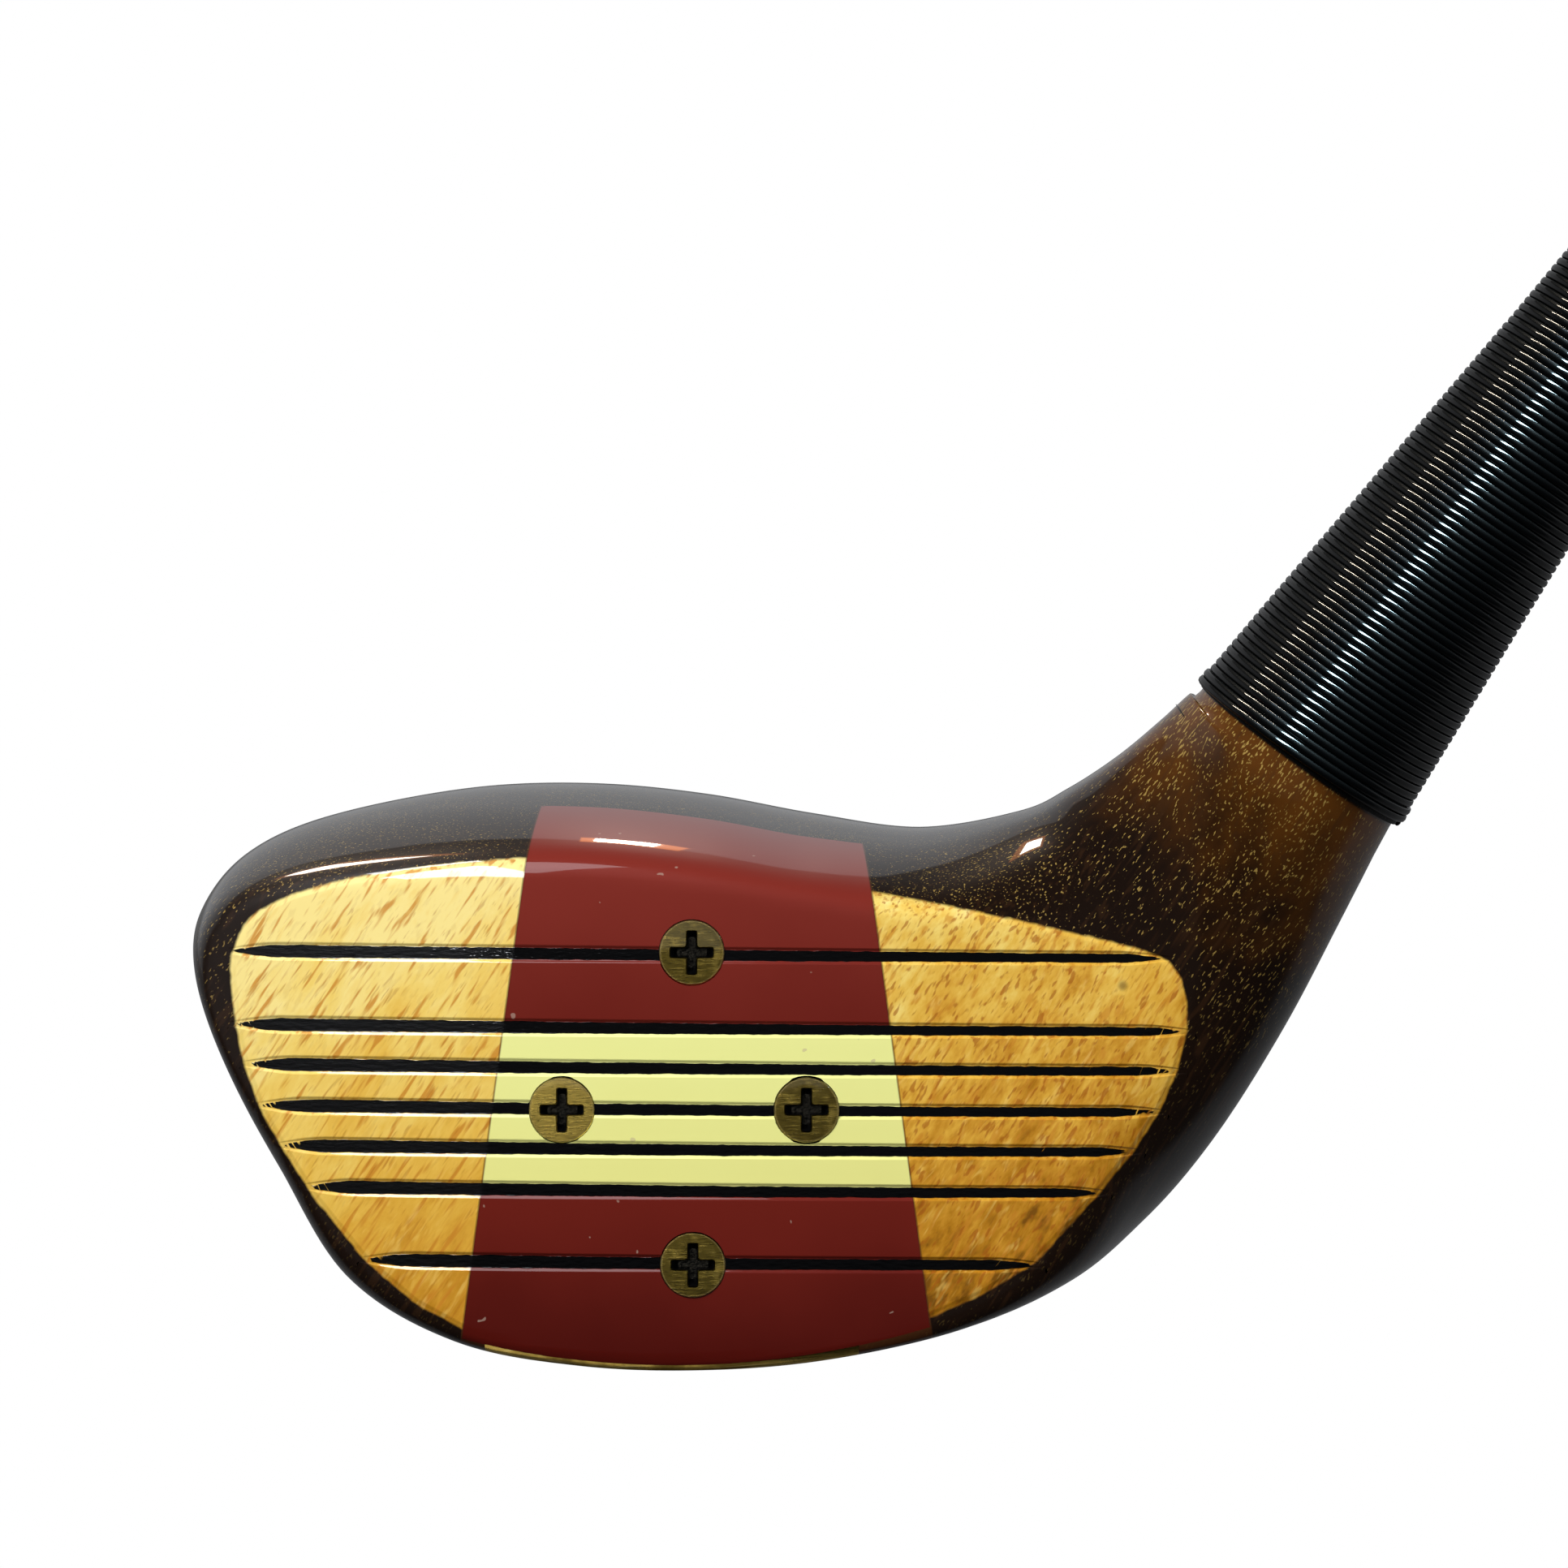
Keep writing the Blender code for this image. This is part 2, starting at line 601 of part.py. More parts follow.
def build_ferrule(axis):
    """The plastic collar that carries the neck's taper on to the shaft."""
    plastic = make_material("black_plastic", "0D0D0E", 0.2)
    bore = SHAFT_TIP_RADIUS + GAP
    low = NECK_LENGTH + GAP
    profile = (
        (ferrule_radius(low), low),
        (ferrule_radius(FERRULE_END), FERRULE_END),
        (bore, FERRULE_END),
        (bore, low),
    )
    place(add_turned("ferrule", profile, plastic, ring=True), parent=axis)


def build_whipping(axis):
    """The thread wound over the neck and the ferrule's foot, as one close sleeve."""
    thread = make_material("black_thread", "0A0B0D", 0.35)
    inner = [(radius + THREAD_GAP, along) for along, radius in NECK_RADII]
    inner[0] = (inner[0][0], GAP)
    inner.append((ferrule_radius(WHIPPING_LENGTH) + THREAD_GAP, WHIPPING_LENGTH))
    outer = [(radius + WHIPPING_THICKNESS, along) for radius, along in inner]
    profile = (*outer, *reversed(inner))
    place(add_turned("whipping", profile, thread, ring=True), parent=axis)


# ---- grip ---------------------------------------------------------------------------
def under_grip_radius(along):
    """Outside radius of the sleeve under the leather."""
    share = (along - GRIP_START) / (SHAFT_END - GRIP_START)
    return GRIP_START_RADIUS + (GRIP_END_RADIUS - GRIP_START_RADIUS) * share


def build_grip(axis):
    """Sleeve, wound leather, collar, end cap with its screw, and the wood it bites."""
    sleeve = make_material("grip_sleeve", "3A2A1C", 0.8)
    bore = SHAFT_BUTT_RADIUS + GAP
    profile = (
        (under_grip_radius(GRIP_START), GRIP_START),
        (under_grip_radius(SHAFT_END), SHAFT_END),
        (bore, SHAFT_END),
        (bore, GRIP_START),
    )
    place(add_turned("grip_underlisting", profile, sleeve, ring=True), parent=axis)

    leather = make_material("black_leather", "17120F", 0.5)
    inner = [(under_grip_radius(at) + THREAD_GAP, at) for at in (GRIP_START, SHAFT_END)]
    outer = [(radius + WRAP_THICKNESS, at) for radius, at in inner]
    wrap = add_turned("grip_wrap", (*outer, *reversed(inner)), leather, ring=True)
    place(wrap, parent=axis)

    plastic = make_material("grip_plastic", "101011", 0.3)
    top = GRIP_START - GAP
    profile = (
        (bore + COLLAR_LIP, top - COLLAR_LENGTH),
        (outer[0][0], top - COLLAR_LENGTH / 3),
        (outer[0][0], top),
        (bore, top),
        (bore, top - COLLAR_LENGTH),
    )
    place(add_turned("grip_collar", profile, plastic, ring=True), parent=axis)

    cap_plastic = make_material("cap_plastic", "101011", 0.3)
    low = BUTT_END - GRIP_CAP_HEIGHT
    rim = outer[1][0]
    profile = (
        (rim, low),
        (rim + CAP_SWELL, low + CAP_SWELL_HEIGHT),
        (rim - CAP_SHOULDER / 2, BUTT_END - CAP_SHOULDER),
        (rim - CAP_END_INSET, BUTT_END),
    )
    cap = place(add_turned("grip_cap", profile, cap_plastic), parent=axis)

    plug_wood = make_material("plug_wood", "9C6B3C", 0.7)
    radius = SHAFT_BUTT_RADIUS - SHAFT_WALL - GAP
    profile = ((radius, SHAFT_END - PLUG_LENGTH), (radius, SHAFT_END))
    plug = place(add_turned("butt_plug", profile, plug_wood), parent=axis)

    steel = make_material("cap_screw_steel", "B5B0A0", 0.3, 1.0)
    where = (0.0, 0.0, BUTT_END - SCREW_SUNK)
    hole = add_screw("cap_screw", CAP_SCREW_LENGTH, steel, where, (0.0, 0.0, 0.0), axis)[1]
    boolean(cap, hole, "DIFFERENCE")
    boolean(plug, hole, "DIFFERENCE")


def main():
    clear_scene()
    face_frame = add_empty("face_frame", (0.0, LEADING_EDGE_Y, LEADING_EDGE_Z), FACE_TURN)
    axis = add_empty("shaft_axis", (NECK_X, NECK_Y, NECK_Z), AXIS_TURN)
    form = {
        "head": hide(add_mesh("head_form", *head_form())),
        "plate_top": add_camber_roll("plate_top", 0.0),
        "recess_top": add_camber_roll("recess_top", GAP),
        "insert_foot": add_camber_roll("insert_foot", GAP),
        "insert_foot_raised": add_camber_roll("insert_foot_raised", 2 * GAP),
    }
    body = build_head(face_frame, axis, form)
    slabs = build_insert(face_frame, form)
    build_insert_screws(face_frame, body, slabs)
    build_sole(body, form)
    shaft = build_shaft(axis)
    build_hosel_pin(axis, body, shaft)
    build_ferrule(axis)
    build_whipping(axis)
    build_grip(axis)


main()
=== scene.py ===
import bmesh
import bpy
import json
import math
import numpy as np
from mathutils import Matrix, Vector

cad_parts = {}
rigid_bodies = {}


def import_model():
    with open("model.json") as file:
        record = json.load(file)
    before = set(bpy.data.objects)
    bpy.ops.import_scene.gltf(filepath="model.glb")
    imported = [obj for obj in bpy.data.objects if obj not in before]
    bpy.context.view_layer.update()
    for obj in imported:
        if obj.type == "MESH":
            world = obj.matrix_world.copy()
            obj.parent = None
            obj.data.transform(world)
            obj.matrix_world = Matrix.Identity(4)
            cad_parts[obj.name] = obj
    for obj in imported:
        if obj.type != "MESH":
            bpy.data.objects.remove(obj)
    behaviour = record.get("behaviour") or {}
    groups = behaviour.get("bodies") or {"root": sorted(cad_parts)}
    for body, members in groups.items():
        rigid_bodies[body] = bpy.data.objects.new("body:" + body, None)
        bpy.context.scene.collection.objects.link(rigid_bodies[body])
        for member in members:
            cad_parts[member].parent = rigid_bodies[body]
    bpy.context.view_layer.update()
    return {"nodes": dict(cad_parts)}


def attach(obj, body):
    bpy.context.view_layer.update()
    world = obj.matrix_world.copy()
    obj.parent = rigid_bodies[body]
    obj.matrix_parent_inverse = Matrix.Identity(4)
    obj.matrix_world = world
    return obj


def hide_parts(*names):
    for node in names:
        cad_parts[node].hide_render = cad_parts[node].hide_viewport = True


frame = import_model()

# ---- wooden head -----------------------------------------------------------------------
# One block of close-grained hardwood with its neck, turned and sanded to shape, stained
# almost black and lacquered. The stain was kept off a panel of the face on both sides of
# the insert, and seven lines were sawn across the face and filled with black paint.
MM = 0.001
LOFT = math.radians(10.5)
LIE = math.radians(55.0)
FACE_POINT = np.array((0.0, -30.0, 0.5))
FACE_UP = np.array((0.0, math.sin(LOFT), math.cos(LOFT)))
FACE_IN = np.array((0.0, math.cos(LOFT), -math.sin(LOFT)))
FACE_MIDDLE_Z = 21.0
BULGE_RADIUS = 254.0
ROLL_RADIUS = 280.0
FACE_EDGE_ROUNDING = 3.2
NECK_POINT = np.array((49.1, -15.0, 47.7))
NECK_LINE = np.array((math.cos(LIE), 0.0, math.sin(LIE)))
NECK_RADII = ((0.0, 9.45), (9.0, 8.75), (19.0, 7.9), (29.0, 7.1), (38.0, 6.35))
# top x, z, bottom x, z, fullest share, crest y, depth to the back, to the front at top
# and bottom, squareness of the back at top and bottom and of the front, cut of the face
RIBS = (
    (-41.2, 31.8, -41.2, 31.8, 0.50, -10.0, 0.0, 0.0, 0.0, 2.0, 2.0, 2.0, 2.0, 1.0),
    (-40.3, 35.2, -39.9, 26.8, 0.50, -10.0, 11.0, 11.0, 10.5, 2.0, 2.0, 2.0, 2.0, 1.0),
    (-37.7, 38.1, -37.2, 20.5, 0.50, -9.0, 21.0, 20.0, 19.0, 2.0, 2.1, 2.1, 2.1, 1.0),
    (-33.0, 40.3, -33.4, 13.2, 0.50, -8.0, 29.0, 25.0, 24.5, 2.0, 2.2, 2.2, 2.2, 1.0),
    (-25.5, 41.9, -28.0, 5.2, 0.45, -6.5, 35.0, 29.0, 30.5, 2.1, 2.4, 2.3, 2.7, 1.0),
    (-17.0, 42.8, -19.2, 1.1, 0.42, -5.5, 39.0, 32.0, 36.0, 2.2, 2.7, 2.4, 3.4, 1.0),
    (-8.0, 42.8, -9.0, -0.2, 0.42, -5.0, 40.0, 32.5, 39.5, 2.2, 3.0, 2.5, 4.0, 1.0),
    (1.0, 41.9, 1.0, -0.4, 0.42, -5.0, 39.5, 32.5, 41.0, 2.2, 3.0, 2.5, 4.0, 1.0),
    (10.0, 40.4, 11.0, 0.4, 0.42, -5.5, 37.0, 31.5, 39.5, 2.2, 3.0, 2.5, 4.0, 1.0),
    (19.0, 39.8, 21.6, 2.2, 0.44, -8.0, 33.0, 25.0, 34.0, 2.2, 2.7, 2.3, 3.4, 1.0),
    (27.2, 42.1, 31.1, 4.9, 0.47, -11.0, 27.0, 15.0, 22.5, 2.1, 2.4, 2.1, 2.8, 1.0),
    (31.0, 44.6, 37.3, 9.1, 0.50, -13.0, 22.0, 10.0, 15.0, 2.0, 2.2, 2.0, 2.1, 1.0),
    (34.9, 47.7, 42.9, 16.0, 0.50, -14.3, 16.0, 9.0, 11.0, 2.0, 2.0, 2.0, 2.0, 0.8),
    (38.3, 50.8, 48.5, 25.4, 0.50, -14.8, 12.3, 9.4, 10.0, 2.0, 2.0, 2.0, 2.0, 0.35),
    (40.6, 53.0, 53.4, 35.3, 0.50, -15.0, 10.6, 9.6, 9.6, 2.0, 2.0, 2.0, 2.0, 0.0),
)
RIBS_BETWEEN = 13
NECK_RIBS_BETWEEN = 3
RING_POINTS = 236
# Points of the loose loop that each ring's evenly spaced points are picked from.
LOOP_POINTS = 1441


def axis_point(along, radius=0.0, turn=0.0):
    """A point beside the shaft's axis; turn 0 is towards the head's top."""
    across = np.array((-math.sin(LIE), 0.0, math.cos(LIE)))
    side = across * math.cos(turn) + np.array((0.0, 1.0, 0.0)) * math.sin(turn)
    return NECK_POINT + NECK_LINE * along + side * radius


def blended_ribs():
    """Catmull-Rom ribs through the table and on along the neck."""
    table = [list(rib) for rib in RIBS]
    for along, radius in NECK_RADII:
        top, bottom = axis_point(along, radius), axis_point(along, -radius)
        table.append([top[0], top[2], bottom[0], bottom[2], 0.5, NECK_POINT[1]])
        table[-1] += [radius] * 3 + [2.0] * 4 + [0.0]
    table = np.array(table)
    first = table[1].copy()
    first[:4] = table[1][[2, 3, 0, 1]]
    first[6:9] *= -1
    guide = np.vstack((first, table, 2 * table[-1] - table[-2]))
    ribs = []
    for i in range(len(table) - 1):
        a, b, c, d = guide[i : i + 4]
        between = RIBS_BETWEEN if i < len(RIBS) - 1 else NECK_RIBS_BETWEEN
        for u in np.arange(between) / between:
            bend = (2 * a - 5 * b + 4 * c - d) * u + (3 * b - a - 3 * c + d) * u * u
            ribs.append(b + 0.5 * u * (c - a + bend))
    return ribs[1:] + [table[-1]]


def face_surface(x, z):
    """The y of the lofted face, with its bulge across and roll upwards."""
    up = (z - FACE_MIDDLE_Z) / math.cos(LOFT)
    curve = x * x / (2 * BULGE_RADIUS) + (up * up - FACE_MIDDLE_Z**2) / (2 * ROLL_RADIUS)
    return FACE_POINT[1] + z * math.tan(LOFT) + curve


def ring_of(rib):
    """One rib's closed loop, with its points evenly spaced along it."""
    tx, tz, bx, bz, fullest, crest, back, front_t, front_b, sbt, sbb, sft, sfb, cut = rib
    angle = np.linspace(0, 2 * math.pi, LOOP_POINTS)
    c, s = np.cos(angle), np.sin(angle)
    upper = 0.5 + 0.5 * c
    behind = s >= 0
    square = np.where(behind, sbb + (sbt - sbb) * upper, sfb + (sft - sfb) * upper)
    depth = np.where(behind, back, -(front_b + (front_t - front_b) * upper))
    level = np.abs(c) ** (2 / square)
    share = np.where(c >= 0, fullest + (1 - fullest) * level, fullest * (1 - level))
    x = bx + (tx - bx) * share
    z = np.maximum(bz + (tz - bz) * share, 0)
    y = crest + depth * np.abs(s) ** (2 / square)
    face = face_surface(x, z)
    near = np.maximum(FACE_EDGE_ROUNDING - np.abs(y - face), 0) / FACE_EDGE_ROUNDING
    y += (np.maximum(y, face) + near * near * FACE_EDGE_ROUNDING / 4 - y) * cut
    loop = np.stack((x, y, z), axis=1)
    run = np.concatenate(((0,), np.cumsum(np.linalg.norm(np.diff(loop, axis=0), axis=1))))
    wanted = np.linspace(0, run[-1], RING_POINTS + 1)[:-1]
    return np.stack([np.interp(wanted, run, loop[:, k]) for k in range(3)], axis=1)


def unit(vectors):
    """Vectors scaled to a length of one."""
    return vectors / np.maximum(np.linalg.norm(vectors, axis=-1, keepdims=True), 1e-12)


def grid_faces(rows, columns, start=0):
    """Quads of a grid whose columns close on themselves."""
    i = np.arange(columns)
    j = (i + 1) % columns
    faces = []
    for row in range(rows - 1):
        low, high = start + row * columns, start + (row + 1) * columns
        faces += np.stack((low + i, high + i, high + j, low + j), axis=1).tolist()
    return faces


rings = np.array([ring_of(rib) for rib in blended_ribs()])
along_ring = np.roll(rings, -1, axis=1) - np.roll(rings, 1, axis=1)
ring_normals = unit(np.cross(np.gradient(rings, axis=0), along_ring))
toe_point = np.array((RIBS[0][0], RIBS[0][5], RIBS[0][1]))
skin_points = np.vstack((toe_point, rings.reshape(-1, 3)))
skin_normals = np.vstack(((-1, 0, 0), ring_normals.reshape(-1, 3)))
around = range(RING_POINTS)
skin_faces = [(0, 1 + i, 1 + (i + 1) % RING_POINTS) for i in around]
skin_faces += grid_faces(len(rings), RING_POINTS, 1)
last_ring = 1 + (len(rings) - 1) * RING_POINTS
skin_faces.append([last_ring + i for i in reversed(around)])

skin_mesh = bpy.data.meshes.new("skin")
skin_mesh.from_pydata(skin_points.tolist(), [], skin_faces)
kept = skin_mesh.attributes.new("skin_normal", "FLOAT_VECTOR", "POINT")
kept.data.foreach_set("vector", skin_normals.astype(np.float32).ravel())
skin = bmesh.new()
skin.from_mesh(skin_mesh)
bpy.data.meshes.remove(skin_mesh)
# Every face of the skin carries the number of the part that it belongs to.
WOOD, UPPER, CENTRE, LOWER, PLATE, HOLE = range(6)
part_of = skin.faces.layers.int.new("part")


def faces_where(test):
    """Faces of the skin whose centres pass a test on their x, y, z arrays."""
    found = list(skin.faces)
    centres = np.array([face.calc_center_median()[:] for face in found])
    return [found[i] for i in np.nonzero(test(*centres.T))[0]]


def cut_along(faces, point, outward):
    """Cuts faces along a plane and returns all their parts."""
    line, reach = Vector(outward), float(np.dot(point, outward))
    side = {}
    for face in faces:
        for vert in face.verts:
            if vert not in side:
                gap = vert.co.dot(line) - reach
                side[vert] = 0.0 if abs(gap) < 1e-5 else gap
    for edge in dict.fromkeys(edge for face in faces for edge in face.edges):
        a, b = edge.verts
        if side[a] * side[b] < 0:
            split = bmesh.utils.edge_split(edge, a, side[a] / (side[a] - side[b]))
            side[split[1]] = 0.0
    cut = list(faces)
    for face in faces:
        sides = [side[vert] for vert in face.verts]
        if min(sides) < 0 < max(sides):
            on = [vert for vert in face.verts if side[vert] == 0.0]
            cut.append(bmesh.utils.face_split(face, on[0], on[-1])[0])
    return cut


def carve(faces, planes):
    """Cuts faces along planes given as (point, outward normal); returns those inside all."""
    for point, outward in planes:
        reach = float(np.dot(point, outward))
        line = Vector(outward)
        parts = cut_along(faces, point, outward)
        faces = [face for face in parts if face.calc_center_median().dot(line) < reach]
    return faces


def face_place(x, height, deep=0.0):
    """The point at x and a height up the leaned-back face, and so far into the head."""
    return FACE_POINT + np.array((x, 0.0, 0.0)) + FACE_UP * height + FACE_IN * deep


def face_height(x, y, z):
    """How far up the leaned-back face a point lies."""
    return (y - FACE_POINT[1]) * FACE_UP[1] + (z - FACE_POINT[2]) * FACE_UP[2]


def behind_face(x, y, z):
    """How far a point lies behind the face's own surface."""
    return (y - face_surface(x, z)) * math.cos(LOFT)


# The score lines: height up the face, and the x at which each starts and ends.
SCORE_LINES = (
    (33.3, -37.5, 38.9),
    (27.4, -37.3, 40.7),
    (24.2, -36.3, 40.1),
    (20.9, -35.1, 38.5),
    (17.7, -33.5, 36.6),
    (14.4, -31.4, 33.9),
    (8.6, -26.7, 28.6),
)
SCORE_HALF_WIDTH = 0.82
SCORE_DEPTH = 0.17
SCORE_TAPER = 4.5
SCORE_TIP_SHARE = 0.25
# The share of the half width over which a wall comes down to the flat floor.
SCORE_WALL = 0.45
SCORE_PROFILE = np.concatenate(
    (np.linspace(-1, SCORE_WALL - 1, 6), np.linspace(1 - SCORE_WALL, 1, 6))
)
# The lines drop and narrow a little towards the heel.
SCORE_SLOPE = 0.0085
SCORE_NARROWING = 0.003
SCORE_UP = FACE_UP + np.array((SCORE_SLOPE, 0.0, 0.0))
# How far behind the face's own surface the skin still counts as the face.
FACE_REACH = 4.0
SCORE_REACH = 2.0
for height, low_x, high_x in SCORE_LINES:
    strip = faces_where(
        lambda x, y, z: (abs(face_height(x, y, z) - height) < SCORE_REACH)
        & (behind_face(x, y, z) < FACE_REACH)
    )
    for share in SCORE_PROFILE:
        strip = cut_along(strip, face_place(0, height + share * SCORE_HALF_WIDTH), SCORE_UP)

# The slot for the insert: leaning sides, a flat back and a foot that follows the plate.
INSERT_DEPTH = 6.4
INSERT_MIDDLE_X = 0.5
INSERT_BOTTOM_HALF_WIDTH = 19.2
INSERT_SIDE_LEAN = math.radians(7.67)
INSERT_BACK_LEAN = math.radians(7.9)
INSERT_JOINTS = (14.4, 27.4)
SOLE_MIDDLE_X = -1.5
SOLE_CAMBER_RADIUS = 76.0
PLATE_FRONT_THICKNESS = 0.9
PLATE_RISE = 0.05
FOOT_REACH = 20.0
FOOT_CUTS = 21
slot_planes = []
for side in (-1, 1):
    outward = side * math.cos(INSERT_SIDE_LEAN) * np.array((1.0, 0.0, 0.0))
    outward = outward + math.sin(INSERT_SIDE_LEAN) * FACE_UP
    at = face_place(INSERT_MIDDLE_X + side * INSERT_BOTTOM_HALF_WIDTH, 0.0)
    slot_planes.append((at, outward))
slot_back = FACE_IN * math.cos(INSERT_BACK_LEAN) - FACE_UP * math.sin(INSERT_BACK_LEAN)
slot_planes.append((face_place(0, 0, INSERT_DEPTH), slot_back))
for x in np.linspace(-FOOT_REACH, FOOT_REACH, FOOT_CUTS):
    slope = (x - SOLE_MIDDLE_X) / SOLE_CAMBER_RADIUS
    low = PLATE_FRONT_THICKNESS + (x - SOLE_MIDDLE_X) ** 2 / (2 * SOLE_CAMBER_RADIUS)
    at = np.array((x, FACE_POINT[1], low))
    slot_planes.append((at, np.array((slope, PLATE_RISE, -1.0))))
# Each recess is cut out of the faces in a rough box round it.
insert_faces = carve(
    faces_where(lambda x, y, z: (behind_face(x, y, z) < 20) & (abs(x) < 24) & (z > 0.3)),
    slot_planes,
)


def mark(faces, part):
    """Gives faces the number of the part that they belong to."""
    for face in faces:
        face[part_of] = part
    return faces


mark(insert_faces, UPPER)
lower_joint, upper_joint = INSERT_JOINTS
mark(carve(insert_faces, [(face_place(0, upper_joint), SCORE_UP)]), CENTRE)
centre_faces = [face for face in skin.faces if face[part_of] == CENTRE]
mark(carve(centre_faces, [(face_place(0, lower_joint), SCORE_UP)]), LOWER)

# The recess for the sole plate: open in front, straight sides and a round back.
PLATE_HALF_WIDTH = 15.0
PLATE_STRAIGHT_BACK_Y = -8.0
PLATE_BACK_LENGTH = 24.0
PLATE_CUTS = 37
plate_planes = [(np.array((0.0, 0.0, 8.0)), np.array((0.0, 0.0, 1.0)))]
for turn in np.linspace(0, math.pi, PLATE_CUTS):
    x, y = math.cos(turn) * PLATE_HALF_WIDTH, math.sin(turn) * PLATE_BACK_LENGTH
    at = np.array((SOLE_MIDDLE_X + x, PLATE_STRAIGHT_BACK_Y + y, 0.0))
    outward = np.array((x / PLATE_HALF_WIDTH**2, y / PLATE_BACK_LENGTH**2, 0.0))
    plate_planes.append((at, unit(outward)))
sole_faces = faces_where(lambda x, y, z: (z < 9) & (abs(x) < 22) & (y < 20))
sole_faces = [face for face in sole_faces if face[part_of] == WOOD]
mark(carve(sole_faces, plate_planes), PLATE)

# The screws: name, x, height up the face; and name, x, y on the sole.
INSERT_SCREWS = (
    ("top", 0.1, 33.5),
    ("toe", -10.3, 20.9),
    ("heel", 9.3, 20.9),
    ("bottom", 0.2, 8.5),
)
SOLE_SCREWS = (
    ("front_toe", -11.4, -18.0),
    ("front_heel", 8.4, -18.0),
    ("middle_toe", -11.4, -4.0),
    ("middle_heel", 8.4, -4.0),
    ("back", -1.5, 11.5),
)
INSERT_SCREW_LENGTH = 16.0
SOLE_SCREW_LENGTH = 14.0
SCREW_HEAD_RADIUS = 2.62
SCREW_SEAT_RADIUS = 2.66
SEAT_SIDES = 40
screw_frames = {}
for name, x, height in INSERT_SCREWS:
    at = face_place(x, height)
    at = face_place(x, height, (face_surface(x, at[2]) - at[1]) * math.cos(LOFT))
    screw_frames["insert_screw_" + name] = (at, -FACE_IN, INSERT_SCREW_LENGTH)
for name, x, y in SOLE_SCREWS:
    lean = math.asin((x - SOLE_MIDDLE_X) / SOLE_CAMBER_RADIUS)
    at = np.array((x, y, SOLE_CAMBER_RADIUS * (1 - math.cos(lean))))
    out = np.array((math.sin(lean), 0.0, -math.cos(lean)))
    screw_frames["sole_screw_" + name] = (at, out, SOLE_SCREW_LENGTH)
for at, out, length in screw_frames.values():
    side = unit(np.cross(out, (0.0, 1.0, 0.0) if abs(out[1]) < 0.7 else (0.0, 0.0, 1.0)))
    other = np.cross(out, side)
    ring = []
    for turn in np.linspace(0, 2 * math.pi, SEAT_SIDES + 1)[:-1]:
        outward = side * math.cos(turn) + other * math.sin(turn)
        ring.append((at + outward * SCREW_SEAT_RADIUS, outward))
    near = faces_where(
        lambda x, y, z: np.linalg.norm(np.stack((x, y, z), 1) - at, axis=1) < 5
    )
    mark(carve(near, ring), HOLE)

skin.verts.index_update()
normal_of = skin.verts.layers.float_vector["skin_normal"]
points = np.array([vert.co[:] for vert in skin.verts])
normals = unit(np.array([vert[normal_of][:] for vert in skin.verts]))
polygons = [[vert.index for vert in face.verts] for face in skin.faces]
parts = np.array([face[part_of] for face in skin.faces])
skin.free()

# Each score line is a shallow trough that narrows to a point at both ends. Paint is how
# far inside the nearest line a point lies, less than nothing outside all of them.
heights = face_height(*points.T)
front = behind_face(*points.T) < FACE_REACH
FAR_OUTSIDE = -9.0
paint = np.full(len(points), FAR_OUTSIDE)
trough_normals = normals.copy()
uphill = unit(FACE_UP - normals * (normals @ FACE_UP)[:, None])
moved = points.copy()
for height, low_x, high_x in SCORE_LINES:
    run = np.minimum(points[:, 0] - low_x, high_x - points[:, 0])
    taper = np.clip(run / SCORE_TAPER, 0, 1)
    opening = np.sin(taper * math.pi / 2)
    width = SCORE_HALF_WIDTH * (SCORE_TIP_SHARE + (1 - SCORE_TIP_SHARE) * opening)
    width = width * (1 - SCORE_NARROWING * (points[:, 0] - low_x))
    depth = SCORE_DEPTH * opening
    offset = heights + SCORE_SLOPE * points[:, 0] - height
    within = front & (run > 0) & (abs(offset) < SCORE_HALF_WIDTH + 0.01)
    share = np.clip(offset / SCORE_HALF_WIDTH, -1, 1)
    shift = share * width - offset
    wall = np.clip((1 - abs(share)) / SCORE_WALL, 0, 1)
    drop = depth * (3 - 2 * wall) * wall * wall
    slope = np.sign(share) * depth * 6 * wall * (1 - wall) / (SCORE_WALL * width)
    step = uphill * shift[:, None] - normals * drop[:, None]
    moved[within] += step[within]
    trough_normals[within] = unit(normals - uphill * slope[:, None])[within]
    inside = np.minimum(width - abs(np.where(within, share * width, offset)), run)
    paint = np.where(front, np.maximum(paint, inside), paint)
points = moved

# Seam is how far outside the slot's sides and back a point lies, less than nothing inside,
# and stain, below, how far outside the clear panel; only the first few mm of each matter.
SEAM_LIMIT = 3.0
STAIN_LIMIT = 6.0
sides = np.array([(points - at) @ outward for at, outward in slot_planes[:3]])
seam = np.clip(sides.max(axis=0), -SEAM_LIMIT, SEAM_LIMIT)

# The clear panel's outline is x and height up the face. The panel also runs a little way
# round the face's edge.
PANEL_WRAP = 1.6
PANEL = (
    (-36.1, 35.7), (-37.2, 33.0), (-37.0, 30.4), (-36.7, 27.5), (-36.0, 24.5), (-34.7, 21.0),
    (-33.0, 18.0), (-30.3, 13.8), (-26.1, 8.7), (-22.2, 5.4), (-18.1, 3.2), (0.0, 2.0),
    (19.2, 4.2), (23.4, 6.0), (27.7, 8.6), (32.6, 13.8), (35.9, 17.7), (37.9, 20.8),
    (39.2, 23.9), (40.0, 27.1), (40.0, 29.4), (39.5, 31.4), (38.6, 32.8), (36.6, 33.6),
    (32.6, 34.7), (26.1, 36.1), (19.5, 37.5), (14.3, 38.4), (0.0, 40.2), (-13.1, 41.1),
    (-17.7, 40.8), (-22.9, 40.2), (-28.2, 39.3), (-32.1, 38.2), (-34.8, 36.9),
)


